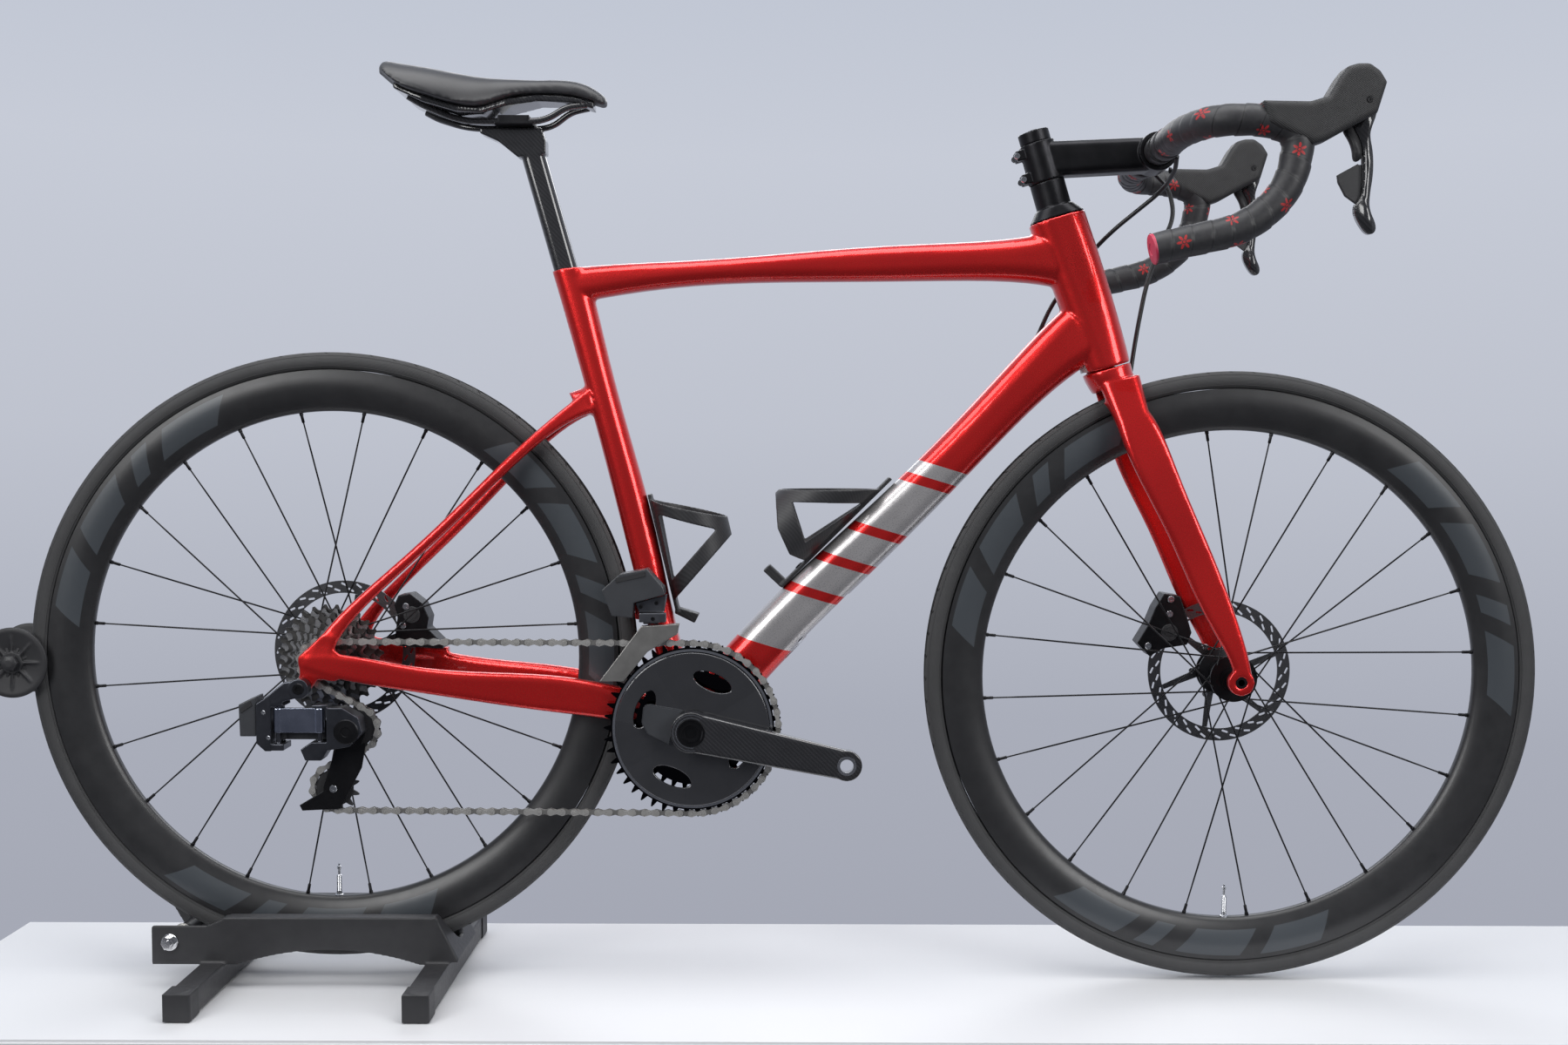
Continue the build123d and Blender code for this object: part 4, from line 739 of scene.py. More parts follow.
def spoke_ends(end, drive_y, disc_y, turn):
    cx, cz = WHEEL_CENTRES[end]
    half_step = math.pi / SPOKES_PER_SIDE
    first = math.radians(turn)
    for flange_y, phase in ((drive_y, first + half_step), (disc_y, first)):
        for number in range(SPOKES_PER_SIDE):
            hub_angle = phase + 2 * half_step * number
            lead = 1 if number % 2 else -1
            rim_angle = hub_angle + lead * 4 * half_step
            hub = Vector((cx + FLANGE_RADIUS * math.cos(hub_angle), flange_y + 3.3 * lead,
                          cz + FLANGE_RADIUS * math.sin(hub_angle)))
            rim = Vector((cx + RIM_INNER * math.cos(rim_angle), 0.8 * lead,
                          cz + RIM_INNER * math.sin(rim_angle)))
            yield hub, rim


def spokes(end, drive_y, disc_y, turn):
    """Bladed spokes with a round end in one mesh, and a nipple at the rim of each in a second mesh."""
    bm = bmesh.new()
    nips = bmesh.new()
    for hub, rim in spoke_ends(end, drive_y, disc_y, turn):
        length = (rim - hub).length
        ahead = (rim - hub).normalized()
        flat = ahead.cross(Vector((0, 1, 0))).normalized()
        thin = flat.cross(ahead)
        rings = []
        for along, wide, deep in ((0.0, 0.95, 0.95), (20.0, 0.9, 0.9), (28.0, 0.95, 0.5),
                                  (length - 40, 0.95, 0.5),
                                  (length - 30, 0.85, 0.85), (length - 4, 0.85, 0.85)):
            rings.append([at(*p) for p in circle(hub + ahead * along, flat, thin, wide, deep, 8)])
        skinned(bm, rings)
        rings = []
        for along, radius in ((length - 11.0, 1.3), (length - 10.4, 1.7), (length - 3.0, 1.7),
                              (length - 2.6, 2.2),
                              (length + 1.5, 2.2)):
            rings.append([at(*p) for p in circle(hub + ahead * along, flat, thin, radius, radius, 10)])
        skinned(nips, rings)
    blades = from_bmesh(end + "_spokes_skin", bm, BLACK_STEEL, end + "_wheel", sharp=60)
    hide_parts(end + "_spokes")
    from_bmesh(end + "_nipples", nips, BLACK_ALLOY, end + "_wheel", sharp=35)


spokes("rear", -14.5, 27, 7.5)
spokes("front", -27, 25, 5.5)


def valve(end):
    """Presta stem with its lock nut and thin top, standing up from the lowest point of the rim."""
    cx, cz = WHEEL_CENTRES[end]
    foot = at(cx, 0, cz - 271.5)
    profile = [(0, -2), (4.6, -2), (4.6, 1.6), (3.1, 2.2), (3.0, 6)]
    for k in range(12):
        profile += [(3.0, 6 + 1.4 * k), (2.75, 6.7 + 1.4 * k)]
    profile += [(3.0, 23), (2.2, 23.8), (1.5, 24.4), (1.5, 30), (2.4, 30.6), (2.4, 33.4), (1.2, 34.2),
                (1.0, 36.4), (0, 36.6)]
    lathe(end + "_valve", foot, (0, 0, 1), profile, SILVER, end + "_wheel", segments=20,
          sharp=30)


valve("rear")
valve("front")
CALLIPER_BOLTS = {"rear": ((71.6, 412.6), (68.0, 391.0)), "front": ((931.7, 405.0), (908.0, 369.0),
                                                                    (933.0, 421.5))}
CALLIPER_PISTON = {"rear": (78, 403), "front": (932, 384)}


def calliper_parts(end):
    """Piston cover and silver bolts on the calliper's inner face."""
    body = BODY_OF[end + "_caliper"]
    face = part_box(end + "_caliper")[0][1] * 1000
    x, z = CALLIPER_PISTON[end]
    cover = [(0, -1), (9.6, -1), (9.6, 0.4), (8.9, 1.2), (6.2, 1.3), (5.8, 0.7), (0, 0.7)]
    lathe(end + "_piston_cover", at(x, face, z), (0, -1, 0), cover, PLASTIC, body,
          segments=48, sharp=30)
    for number, (bx, bz) in enumerate(CALLIPER_BOLTS[end]):
        bolt("%s_calliper_bolt_%d" % (end, number), at(bx, face, bz), (0, -1, 0), 3.8, 2.4, SILVER, body,
             0.5)


for END in ("rear", "front"):
    calliper_parts(END)
    dress(END + "_hub", BLACK_ALLOY)
    dress(END + "_rotor", ROTOR_STEEL[END])
    dress(END + "_axle", BLACK_ALLOY)
    soften(END + "_caliper", 0.8, 3, BLACK_ALLOY)


CHAIN_PITCH = 12.7
CHAIN_Y_FRONT, CHAIN_Y_REAR = -46.5, -60.0
SPROCKETS = (11, 12, 13, 14, 15, 16, 17, 19, 21, 24, 26, 28)
SPROCKET_STEP = 3.6
SPROCKET_TWIST_DEG = 11.0


def pitch_radius(teeth):
    return CHAIN_PITCH / 2 / math.sin(math.pi / teeth)


def toothed_plate(bm, cx, cz, y, teeth, half, bore, turn):
    """A thin sprocket: bevelled pointed teeth round a flat ring."""
    pitch = pitch_radius(teeth)
    step = 2 * math.pi / teeth
    shape = ((-0.5, pitch - 3.7, 1.0), (-0.27, pitch - 2.2, 1.0), (-0.1, pitch + 2.1, 0.45),
             (0.1, pitch + 2.1, 0.45),
             (0.27, pitch - 2.2, 1.0))
    rims = {-1: [], 1: []}
    bores = {-1: [], 1: []}
    for tooth in range(teeth):
        for along, radius, thick in shape:
            a = turn + step * (tooth + along)
            for side in (-1, 1):
                rims[side].append(bm.verts.new(at(cx + radius * math.cos(a), y + side * half * thick,
                                                  cz + radius * math.sin(a))))
                bores[side].append(bm.verts.new(at(cx + bore * math.cos(a), y + side * half,
                                                   cz + bore * math.sin(a))))
    count = len(rims[1])
    for k in range(count):
        n = (k + 1) % count
        for side in (-1, 1):
            bm.faces.new((rims[side][k], rims[side][n], bores[side][n], bores[side][k]))
        bm.faces.new((rims[-1][k], rims[-1][n], rims[1][n], rims[1][k]))
        bm.faces.new((bores[-1][k], bores[-1][n], bores[1][n], bores[1][k]))


def cassette():
    """Twelve steel sprockets on a dark carrier, every other one in a darker steel as painted shade, with a
    lock ring outside.
    """
    cx, cz = WHEEL_CENTRES["rear"]
    bright, shaded_cogs = bmesh.new(), bmesh.new()
    for number, teeth in enumerate(SPROCKETS):
        y = CHAIN_Y_REAR + SPROCKET_STEP * number
        bore = max(17.0, pitch_radius(teeth) - 11.0)
        # painted shade: every other sprocket takes the darker steel
        toothed_plate(shaded_cogs if number % 2 else bright, cx, cz, y, teeth, 0.85, bore,
                      math.radians(SPROCKET_TWIST_DEG * number))
    obj = from_bmesh("cassette_bright", bright, COG_STEEL, "cassette", sharp=25)
    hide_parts("cassette")
    from_bmesh("cassette_shaded_cogs", shaded_cogs, DARK_STEEL, "cassette", sharp=25)
    outline = [(10.0, -2.9), (14.6, -2.9), (15.0, -2.2), (15.0, -0.9), (17.2, -0.8)]
    for number, teeth in enumerate(SPROCKETS):
        radius = max(17.2, pitch_radius(teeth) - 10.6)
        outline += [(radius, SPROCKET_STEP * number + 0.7), (radius - 0.3, SPROCKET_STEP * number + 2.6)]
    outline += [(17.0, 40.2), (10.0, 40.2)]
    lathe("cassette_carrier", at(cx, CHAIN_Y_REAR, cz), (0, 1, 0), outline, BLACK_ALLOY, "cassette",
          segments=72, sharp=30, closed=True)


cassette()


def rotor_parts(end):
    """A centre-lock ring and six rivets on each disc rotor."""
    cx, cz = WHEEL_CENTRES[end]
    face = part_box(end + "_rotor")[0][1] * 1000
    body = end + "_wheel"
    ring = [(17.4, 0), (17.4, -1.8), (21.5, -1.8), (22.3, -1.1), (22.3, 0)]
    lathe(end + "_lock_ring", at(cx, face, cz), (0, 1, 0), ring, BLACK_ALLOY, body,
          segments=48, sharp=30,
          closed=True)
    for k in range(6):
        a = math.radians(60 * k)
        spot = at(cx + 31 * math.cos(a), face - 0.02, cz + 31 * math.sin(a))
        bolt("%s_rivet_%d" % (end, k), spot, (0, -1, 0), 3.2, 1.2, SILVER, body, 0.3)


rotor_parts("rear")
rotor_parts("front")


# ---- chain ----
RING_TEETH, COG_TEETH, PULLEY_TEETH = 46, 11, 12
GUIDE_PULLEY, TENSION_PULLEY = (37.0, 289.0), (14.0, 225.0)
RING_STUB, COG_STUB = 32.0, 14.0


WHEELS = [((BB_X, BB_Z), pitch_radius(RING_TEETH), 1, CHAIN_Y_FRONT),
          ((0.0, WHEEL_CENTRES["rear"][1]), pitch_radius(COG_TEETH), 1, CHAIN_Y_REAR),
          (GUIDE_PULLEY, pitch_radius(PULLEY_TEETH), -1, CHAIN_Y_REAR),
          (TENSION_PULLEY, pitch_radius(PULLEY_TEETH), 1, CHAIN_Y_REAR)]


def tangent(wheel_a, wheel_b):
    (ax, az), radius_a, sense_a, _ = wheel_a
    (bx, bz), radius_b, sense_b, _ = wheel_b
    span = math.hypot(bx - ax, bz - az)
    heading = math.atan2(bz - az, bx - ax) + math.asin((sense_a * radius_a - sense_b * radius_b) / span)
    right = (math.sin(heading), -math.cos(heading))
    leave = (ax + sense_a * radius_a * right[0], az + sense_a * radius_a * right[1])
    meet = (bx + sense_b * radius_b * right[0], bz + sense_b * radius_b * right[1])
    return leave, meet


def chain_path():
    path = []
    for number, wheel in enumerate(WHEELS):
        (cx, cz), radius, sense, y = wheel
        follower = WHEELS[(number + 1) % 4]
        leave, meet = tangent(wheel, follower)
        _, arrive = tangent(WHEELS[number - 1], wheel)
        first = math.atan2(arrive[1] - cz, arrive[0] - cx)
        last = math.atan2(leave[1] - cz, leave[0] - cx)
        sweep_angle = (last - first) * sense % (2 * math.pi)
        count = max(4, int(radius * sweep_angle / 2))
        for k in range(count + 1):
            a = first + sense * sweep_angle * k / count
            path.append(Vector((cx + radius * math.cos(a), y, cz + radius * math.sin(a))))
        start = Vector((leave[0], y, leave[1]))
        end = Vector((meet[0], follower[3], meet[1]))
        length = (end - start).length
        stub_start = RING_STUB if number == 0 else COG_STUB
        stub_end = RING_STUB if number == 3 else COG_STUB
        if y != follower[3]:
            near = start.lerp(end, stub_start / length)
            far = start.lerp(end, 1 - stub_end / length)
            near.y = start.y
            far.y = end.y
            path += [near, far]
    path.append(path[0].copy())
    return path


def link_plate(bm, a, b, y_offset, thick, waist, radius):
    """A figure-eight side plate between two pin places."""
    run = b - a
    ahead = Vector((run.x, 0, run.z)).normalized()
    up = Vector((-ahead.z, 0, ahead.x))
    outline = []
    for centre, start in ((b, -math.pi / 2), (a, math.pi / 2)):
        for k in range(7):
            t = start + math.pi * k / 6
            outline.append(centre + (ahead * math.cos(t) + up * math.sin(t)) * radius)
        outline.append((a + b) / 2 + up * waist * (1 if centre is b else -1))
    skinned(bm, [[at(p.x, p.y + y_offset + side * thick / 2, p.z) for p in outline] for side in (-1, 1)])


def drum(bm, centre, half, radius):
    across = Vector((0, half, 0))
    along, up = Vector((1, 0, 0)), Vector((0, 0, 1))
    skinned(bm, [[at(*p) for p in circle(centre + end, along, up, radius, radius, 12)] for end in (-across,
                                                                                                   across)])


def chain():
    path = chain_path()
    length = sum((b - a).length for a, b in zip(path, path[1:]))
    links = 2 * round(length / CHAIN_PITCH / 2)
    pins = resampled(path, length / links * 0.99999)[:links]
    outer, inner, dark = bmesh.new(), bmesh.new(), bmesh.new()
    for k in range(links):
        a, b = pins[k], pins[(k + 1) % links]
        for side in (-1, 1):
            if k % 2:
                link_plate(inner, a, b, side * 1.5, 0.85, 2.2, 4.0)
            else:
                link_plate(outer, a, b, side * 2.45, 0.85, 1.9, 3.8)
        drum(outer, a, 3.25, 1.6)
        drum(dark, a, 1.05, 3.6)
    obj = from_bmesh("chain_outer_links", outer, STEEL, "frame", sharp=35)
    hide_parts("chain")
    from_bmesh("chain_inner_links", inner, LINK_STEEL, "frame", sharp=35)
    from_bmesh("chain_rollers", dark, DARK_STEEL, "frame", sharp=35)


chain()


# ---- cranks and rings ----
CRANK_DROP = math.radians(11.7)
soften("crank_arm_right", 0.9, 6, CARBON_GLOSS)
soften("crank_arm_left", 0.9, 6, CARBON_GLOSS)
dress("chainring_large", RING_BLACK)
dress("chainring_small", RING_BLACK)


def crank_details():
    for sign, side in ((1, "right"), (-1, "left")):
        face = -sign
        axle = at(BB_X, face * 74, BB_Z)
        cap = [(0, -6), (6, -6), (6, 0.2), (8.6, 0.4), (8.8, 1.2), (9.6, 1.2), (9.8, 0.3), (12.6, 0.3),
               (13.0, 1.0),
               (14.6, 1.0), (15.0, 0.1), (15.0, -1), (0, -1.2)]
        lathe("crank_cap_" + side, axle, (0, face, 0), cap, BLACK_ALLOY, "crank",
              segments=64, sharp=30)
        for radius in (16.2, 19.4):
            line = [(radius - 0.45, -0.6), (radius - 0.3, 0.12), (radius + 0.3, 0.12), (radius + 0.45, -0.6)]
            lathe("crank_line_%s_%d" % (side, int(radius)), axle, (0, face, 0), line, SILVER, "crank",
                  segments=72, sharp=30, closed=True)
        tip = at(BB_X + sign * 170 * math.cos(CRANK_DROP), face * 79,
                 BB_Z - sign * 170 * math.sin(CRANK_DROP))
        insert = [(7.2, -12.5), (7.2, 0.2), (10.3, 0.3), (10.6, -0.6), (10.6, -2), (7.9, -2)]
        lathe("pedal_insert_" + side, tip, (0, face, 0), insert, SILVER, "crank",
              segments=48, sharp=30,
              closed=True)


crank_details()


WINDOW_DEG = 67.0


def ring_web():
    """The glossy web that the spider's arms make with the big ring, with a window between each pair."""
    data = bpy.data.curves.new("ring_web", "CURVE")
    data.dimensions = "2D"
    data.fill_mode = "BOTH"
    data.extrude = 0.0013
    data.bevel_depth = 0.0012
    data.bevel_resolution = 2

    def closed_spline(points):
        spline = data.splines.new("POLY")
        spline.points.add(len(points) - 1)
        for spot, (x, z) in zip(spline.points, points):
            spot.co = (x / 1000, z / 1000, 0, 1)
        spline.use_cyclic_u = True

    for radius in (82.3, 21.5):
        closed_spline([(radius * math.cos(2 * math.pi * k / 120), radius * math.sin(2 * math.pi * k / 120))
                       for k in range(120)])
    for number in range(4):
        turn = math.radians(WINDOW_DEG + 90 * number)
        window = []
        for k in range(40):
            t = 2 * math.pi * k / 40
            radial, tangential = 56 + 10.8 * math.cos(t), 23 * math.sin(t)
            window.append((radial * math.cos(turn) - tangential * math.sin(turn),
                           radial * math.sin(turn) + tangential * math.cos(turn)))
        closed_spline(window)
    curve = linked("ring_web_outline", data)
    mesh = bpy.data.meshes.new_from_object(curve)
    bpy.data.objects.remove(curve)
    centre = at(BB_X, -50.6, BB_Z)
    for v in mesh.vertices:
        v.co = centre + Vector((v.co.x, -v.co.z, v.co.y))
    mesh.flip_normals()
    obj = finish_piece(linked("ring_web", mesh), RING_GLOSS, "crank")
    sharp_by_angle(obj, 30)
    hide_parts("spider", "chainring_bolts")
    housing = [(347.5, 313), (353, 315.5), (391, 309), (381, 295), (376, 271.5), (352, 283), (345.5, 295)]
    prism("power_meter", list(reversed(housing)), -58.5, -50, BATTERY, "crank", 1.2)


ring_web()


def ring_edges():
    """A bright machined edge inside the big ring's teeth."""
    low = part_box("chainring_large")[0][1] * 1000
    line = [(84.2, -0.35), (86.9, -0.35), (86.9, 0.3), (84.2, 0.3)]
    lathe("ring_edge", at(BB_X, low, BB_Z), (0, 1, 0), line, SILVER, "crank", segments=120,
          sharp=30,
          closed=True)


ring_edges()

# ---- derailleurs ----
soften("fd_body", 0.6, 4, GREY_ALLOY)
soften("fd_battery", 0.8, 4, BATTERY)
soften("fd_cage", 0.45, 1, LINK_STEEL)
soften("rd_body", 0.6, 8, SLATE_ALLOY)
soften("rd_battery", 0.8, 4, BATTERY)
soften("rd_outer_link", 0.5, 7, BLUE_SILVER)
soften("rd_inner_link", 0.5, 3, BATTERY)
soften("rd_knuckle", 0.6, 14, SLATE_ALLOY)
soften("rd_cage", 0.45, 2, BLACK_ALLOY)
dress("guide_pulley", PLASTIC)
dress("tension_pulley", PLASTIC)


def derailleur_details():
    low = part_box("rd_cage")[0][1] * 1000
    bolt("tension_bolt", at(TENSION_PULLEY[0], low, TENSION_PULLEY[1]), (0, -1, 0), 4.2, 1.6, SILVER,
         "rd_cage",
         0.45)
    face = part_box("rd_knuckle")[0][1] * 1000
    cap = [(0, -1), (13.4, -1), (13.4, 0.2), (12.4, 1.0), (5.4, 1.2), (5.0, 0.6), (0, 0.6)]
    lathe("knuckle_cap", at(GUIDE_PULLEY[0] - 2, face, GUIDE_PULLEY[1] + 2), (0, -1, 0), cap, BLACK_ALLOY,
          "rd_knuckle",
          segments=48, sharp=30)
    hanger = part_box("rd_body")[0][1] * 1000
    bolt("hanger_bolt", at(-14.5, hanger, 337), (0, -1, 0), 6.2, 1.4, BLACK_ALLOY, "frame",
         0.5)
    for k, (x, z) in enumerate(((-47, 285), (-52, 312))):
        bolt("rd_screw_%d" % k, at(x, hanger, z), (0, -1, 0), 2.3, 0.9, SILVER, "frame", 0.5)
    plate_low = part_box("fd_body")[0][1] * 1000
    for k, (x, z) in enumerate(((345, 421), (362, 425), (358, 408))):
        bolt("fd_screw_%d" % k, at(x, plate_low, z), (0, -1, 0), 2.2, 0.8, BLACK_ALLOY, "frame",
             0.5)
    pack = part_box("fd_battery")
    low_y = pack[0][1] * 1000
    prism("fd_battery_clip", [(318, 452), (350, 459), (351, 454), (319, 447)], low_y - 0.8, low_y + 3,
          PLASTIC, "frame",
          0.3)
    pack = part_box("rd_battery")
    low_y = pack[0][1] * 1000
    prism("rd_battery_clip", [(-77, 316), (-66, 324), (-64, 319), (-76, 311)], low_y - 0.8, low_y + 3,
          PLASTIC, "frame",
          0.3)


derailleur_details()

# ---- bottle cages and seat ----
soften("seat_tube_cage", 1.0, 3, CARBON_SATIN)
soften("down_tube_cage", 1.0, 3, CARBON_SATIN)


def cage_bolts():
    """Two bolts through each cage's back plate."""
    for number, (foot, run, side) in enumerate((((380.5, 409), (-0.2313, 0.9729), (0.9729, 0.2313)),
                                                ((496.3, 437.8), (0.7102, 0.704), (-0.704, 0.7102)))):
        for step in (30, 94):
            base = at(foot[0] + run[0] * step + side[0] * 2.0, 0, foot[1] + run[1] * step + side[1] * 2.0)
            bolt("cage_bolt_%d_%d" % (number, step), base, (side[0], 0, side[1]), 4.6, 2.6, BLACK_ALLOY,
                 "frame",
                 0.5)


cage_bolts()
soften("seatpost", 1.2, 3, CARBON_GLOSS)
soften("saddle_clamp", 0.8, 2, BLACK_ALLOY)
dress("saddle_rails", CARBON_GLOSS)
soften("saddle_shell", 1.6, 4, CARBON_GLOSS)


def saddle():
    """The padded cover: the CAD's outline, relaxed into a crowned soft form."""
    obj = soften("saddle_cover", 2.4, 14, SKIN)
    again = obj.modifiers.new("fine", "SUBSURF")
    again.levels = again.render_levels = 1
    return obj


saddle()

# ---- cockpit ----
BAR_ROUTE = [(903, 0, 912), (903, -136, 912), (921, -190, 912), (966, -197, 911), (1001, -198, 899),
             (992, -200, 845), (951, -203, 806), (858, -206, 785)]
TAPE_START = 50.0
TAPE_RADIUS = 15.4
WRAP = 20.0

soften("headset_spacers", 0.8, 2, BLACK_ALLOY)
soften("stem", 1.0, 4, BLACK_ALLOY)
dress("handlebar", CARBON_SATIN)
for SIDE in ("right", "left"):
    soften("paddle_" + SIDE, 0.4, 2, PLASTIC)
soften("hoods", 1.3, 9, HOOD)

LEVER_BLADE = [(1057, 934), (1068, 934), (1074, 918), (1068, 902), (1066.5, 894), (1070, 878),
               (1070.5, 858), (1067.5, 838),
               (1067, 824), (1075, 807), (1071.5, 799), (1064, 801.5), (1054, 818), (1054, 829),
               (1061.5, 837), (1062, 874),
               (1059, 890), (1050, 904), (1052, 920)]
LEVER_STRUT = [(1040, 902), (1051, 886), (1052.5, 868), (1061, 873), (1060, 888), (1050, 906)]


def cut_corners(outline, rounds=2):
    """A closed outline whose corners are cut again and again into a smooth curve."""
    points = [Vector(p) for p in outline]
    for _ in range(rounds):
        points = [a.lerp(b, share) for a, b in zip(points, points[1:] + points[:1]) for share in (0.25, 0.75)]
    return [tuple(p) for p in points]


def levers():
    """Each brake lever: a smooth glossy blade with a hooked tip and a strut that carries the paddle."""
    for sign, side in ((-1, "right"), (1, "left")):
        body = "lever_" + side
        middle_y = sign * 198
        blade = prism("lever_blade_" + side, cut_corners(LEVER_BLADE), middle_y - 5.5, middle_y + 5.5,
                      LEVER_GLOSS, body,
                      2.2, sharp=0)
        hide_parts(body)
        prism("lever_strut_" + side, cut_corners(LEVER_STRUT), middle_y - 3.5, middle_y + 3.5, PLASTIC,
              body,
              1.5, sharp=0)


levers()


def bar_tape():
    """Wrapped tape: each turn overlaps the last with a raised edge."""
    path = resampled(rounded(BAR_ROUTE, 0.47, 2.0), 1.6)
    travelled, start = 0.0, 0
    for k in range(1, len(path)):
        travelled += (path[k] - path[k - 1]).length
        if travelled >= TAPE_START:
            start = k
            break
    path = path[start:]

    def wrapped(distance, angle):
        wrap = 14.0 if distance < 60 else WRAP
        phase = (distance / wrap + angle / (2 * math.pi)) % 1.0
        edge = 1.0 - phase
        return TAPE_RADIUS - 0.55 + 0.95 * edge ** 0.6 * (1 if phase > 0.04 else phase / 0.04)

    tape = sweep("bar_tape_right", path, wrapped, TAPE, "steering", segments=40)
    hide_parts("bar_tape")
    mirrored_copy(tape, "bar_tape_left", "steering")
    end = path[-1]
    ahead = (path[-1] - path[-3]).normalized()
    for sign, side in ((1, "right"), (-1, "left")):
        spot = at(end.x, sign * end.y, end.z)
        axis = Vector((ahead.x, sign * ahead.y, ahead.z))
        cap = [(14.9, -1.5), (15.4, 0.4), (14.6, 2.0), (11.0, 2.8), (6.0, 3.0), (5.4, 2.2), (0, 2.2)]
        lathe("end_plug_" + side, spot - axis * 0.0008, axis, cap, PLUG_RED, "steering",
              segments=40,
              sharp=40)
        collar = [(15.9, 0), (16.5, 0.8), (16.5, 17), (15.9, 17.8), (15.2, 17.8), (15.2, 0)]
        first = path[0]
        lathe("tape_band_" + side, at(first.x, sign * first.y, first.z) - Vector((0, sign * 0.0005, 0)),
              (0, -sign, 0), collar, PLASTIC, "steering", segments=40, sharp=40, closed=True)


bar_tape()


def cockpit_bolts():
    face_x = 903 + 20.4
    for z in (912 + 15.5, 912 - 15.5):
        for y in (-13.5, 13.5):
            bolt("stem_face_bolt_%d_%d" % (z, y > 0), at(face_x - 1.2, y, z), (1, 0, 0), 3.4, 2.6,
                 BLACK_STEEL, "steering",
                 0.5)
    up = Vector((-0.28067, 0, 0.95981))
    ahead = Vector((0.95981, 0, 0.28067))
    top = Vector((797.5, 0, 842.6))
    for low in (49.3, 75.5):
        spot = top + up * low - ahead * 25.5
        for sign in (-1, 1):
            place = at(spot.x, sign * 11.0, spot.z)
            bolt("stem_pinch_%d_%d" % (low, sign > 0), place, (0, sign, 0), 3.4, 2.0, SILVER, "steering",
                 0.5)
    for sign, side in ((-1, "right"), (1, "left")):
        for face in (-1, 1):
            y = sign * 198 + face * 16.4
            bolt("lever_pin_%s_%d" % (side, face > 0), at(1062, y - face * 0.9, 926), (0, face, 0), 2.6,
                 1.1, BLACK_STEEL,
                 "steering", 0.5)


cockpit_bolts()

# ---- brake hoses ----
REAR_HOSE = [(916, -49.5, 901), (919, -30, 889), (914, 5, 874), (848, 34, 820), (797, 33, 751),
             (778, 14, 712),
             (769, 11, 699)]
FRONT_HOSE = [(913, 50.5, 900), (929, 43, 881), (934, 37, 850), (905, 34, 785), (892, 33, 717),
              (884, 28.2, 667.3)]
HOSE_DIAMETER = 0.005


def hose(name, route, node):
    """A hose along the same arcs as the CAD route; returns it with the points that it follows."""
    path = resampled(rounded(route, 0.45, 2.0), 3.0)
    obj = sweep(name, path, HOSE_DIAMETER * 500, HOSE, None, segments=14)
    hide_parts(node)
    return obj, [tuple(at(*p)) for p in path]


rear_hose, rear_path = hose("rear_brake_hose", REAR_HOSE, "rear_hose")
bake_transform(rear_hose)
front_hose, front_path = hose("front_brake_hose", FRONT_HOSE, "front_hose")
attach(front_hose, "steering")


# ---- stand hardware ----
def stand_details():
    x, z = -172.6, 51.5
    for sign in (-1, 1):
        washer = [(4.4, 0), (9.0, 0), (9.4, -0.5), (9.4, -1.4), (4.4, -1.4)]
        lathe("pivot_washer_%d" % (sign > 0), at(x, sign * 51.6, z), (0, sign, 0), washer, CHROME, "stand",
              segments=40, sharp=30, closed=True)
    for foot in (-126.0, 121.0):
        for side in (-1, 1):
            pad = [(0, 0.02), (8.6, 0.02), (9.0, 0.4), (9.0, 1.4), (0, 1.6)]
            lathe("foot_pad_%d_%d" % (foot > 0, side > 0), at(foot, side * 143, 0), (0, 0, 1), pad,
                  PAD_GREY, "stand",
                  segments=32, sharp=30)
            top = at(foot, side * 145, 30.0)
            disc = [(0, -0.5), (9.6, -0.5), (9.6, 0.4), (8.8, 0.9), (0, 1.0)]
            lathe("cap_disc_%d_%d" % (foot > 0, side > 0), top, (0, 0, 1), disc, PLASTIC, "stand",
                  segments=40, sharp=30)
    centre = middle("stand_roller")
    axle_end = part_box("stand_roller")[0][1]
    bolt("roller_nut", Vector((centre.x, axle_end + 0.002, centre.z)), (0, -1, 0), 7.0, 4.0, CHROME,
         "stand_arm",
         0.35)


stand_details()


# ---- stage, camera and light ----
def stage():
    paint = Paint("table_white", (0.72, 0.725, 0.74), 0.5)
    paint.mottled((0.68, 0.685, 0.70), (0.74, 0.745, 0.76), 3).rough(0.42, 0.55, 6)
    paint.bump(paint.noise(400, 2), 0.02, 0.3)
    low = Vector((-0.915, -0.205, -0.45))
    high = Vector((1.0, 0.195, 0.0))
    bm = bmesh.new()
    bmesh.ops.create_cube(bm, size=1)
    for v in bm.verts:
        v.co = [low[k] + (high[k] - low[k]) * (v.co[k] + 0.5) for k in range(3)]
    bmesh.ops.bevel(bm, geom=list(bm.edges), offset=0.003, segments=2, affect="EDGES")
    table = from_bmesh("table", bm, paint.material, None, smooth=True, sharp=30)


def area_light(name, place, target, size, energy):
    data = bpy.data.lights.new(name, "AREA")
    data.shape = "RECTANGLE"
    data.size, data.size_y = size
    data.energy = energy
    obj = linked(name, data)
    obj.location = place
    obj.rotation_euler = (Vector(target) - Vector(place)).to_track_quat("-Z", "Y").to_euler()


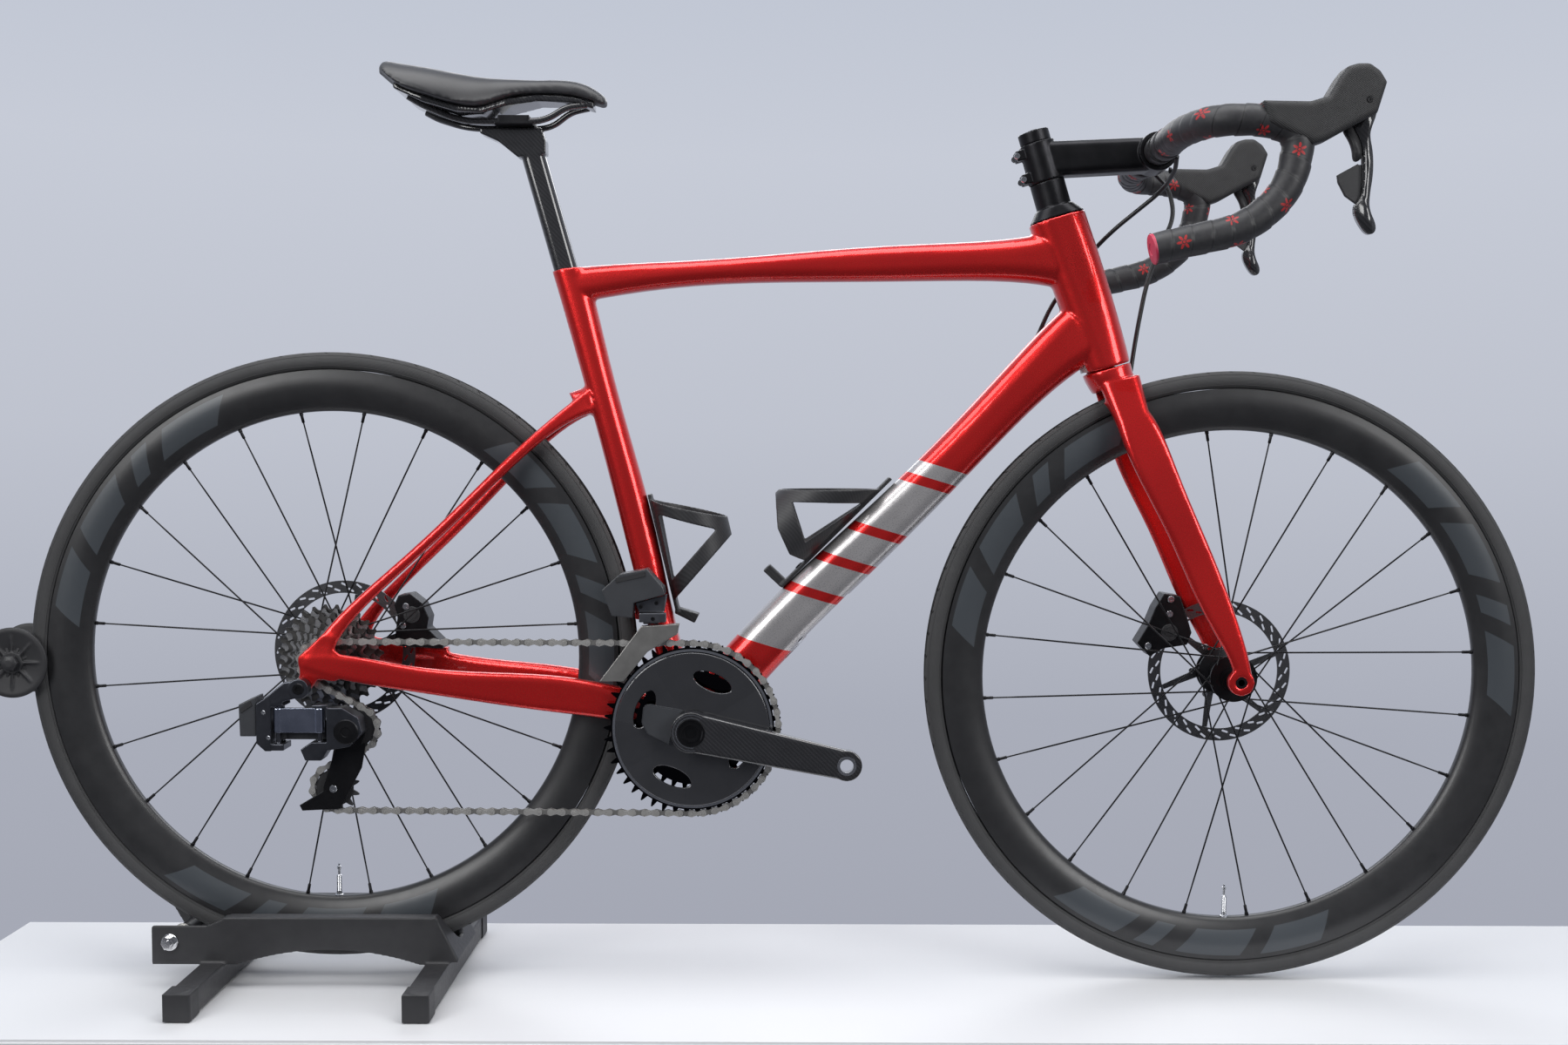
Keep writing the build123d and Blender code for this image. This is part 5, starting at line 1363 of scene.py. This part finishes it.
def sky():
    world = bpy.data.worlds.new("backdrop")
    world.use_nodes = True
    bpy.context.scene.world = world
    tree = world.node_tree
    coords = tree.nodes.new("ShaderNodeTexCoord")
    split = tree.nodes.new("ShaderNodeSeparateXYZ")
    tree.links.new(coords.outputs["Generated"], split.inputs[0])
    ramp = tree.nodes.new("ShaderNodeValToRGB")

    def fade(value, low, high):
        """value's range of -0.35 to 0.3 mapped to low..high."""
        node = tree.nodes.new("ShaderNodeMapRange")
        for socket, setting in (("From Min", -0.35), ("From Max", 0.3), ("To Min", low), ("To Max", high)):
            node.inputs[socket].default_value = setting
        tree.links.new(value, node.inputs["Value"])
        return node.outputs[0]

    tree.links.new(fade(split.outputs[2], 0.0, 1.0), ramp.inputs[0])
    stops = ((0.0, (0.36, 0.375, 0.44)), (0.28, (0.40, 0.42, 0.49)), (0.55, (0.52, 0.545, 0.62)),
             (0.8, (0.57, 0.60, 0.68)),
             (1.0, (0.52, 0.56, 0.65)))
    ramp.color_ramp.elements[0].position = stops[0][0]
    ramp.color_ramp.elements[0].color = (*stops[0][1], 1)
    ramp.color_ramp.elements[1].position = stops[-1][0]
    ramp.color_ramp.elements[1].color = (*stops[-1][1], 1)
    for place, colour in stops[1:-1]:
        stop = ramp.color_ramp.elements.new(place)
        stop.color = (*colour, 1)
    # the room is dim on the near side, so that metal and gloss pick up dark as well as light
    side = fade(split.outputs[1], 0.22, 1.0)
    tree.links.new(ramp.outputs[0], tree.nodes["Background"].inputs["Color"])
    tree.links.new(side, tree.nodes["Background"].inputs["Strength"])


def camera():
    data = bpy.data.cameras.new("camera")
    data.sensor_width = 36
    data.lens = 37.2
    data.clip_end = 50
    obj = linked("camera", data)
    obj.location = at(515, -1790, 602)
    yaw, pitch = math.radians(-0.52), math.radians(2.97)
    ahead = Vector((math.sin(yaw) * math.cos(pitch), math.cos(yaw) * math.cos(pitch), -math.sin(pitch)))
    obj.rotation_euler = ahead.to_track_quat("-Z", "Y").to_euler()
    bpy.context.scene.camera = obj


stage()
sky()
camera()
area_light("overhead", (0.0, -0.4, 2.4), (0.0, 0.0, 0.5), (3.2, 1.2), 46)
area_light("front_left", (-1.9, -2.2, 1.7), (-0.2, 0, 0.5), (1.4, 1.6), 40)
area_light("front_right", (2.2, -2.0, 1.6), (0.3, 0, 0.5), (1.2, 1.6), 36)
area_light("back", (0.2, 2.2, 2.0), (0.0, 0, 0.6), (2.4, 1.0), 22)
bpy.context.scene.view_settings.view_transform = "Standard"
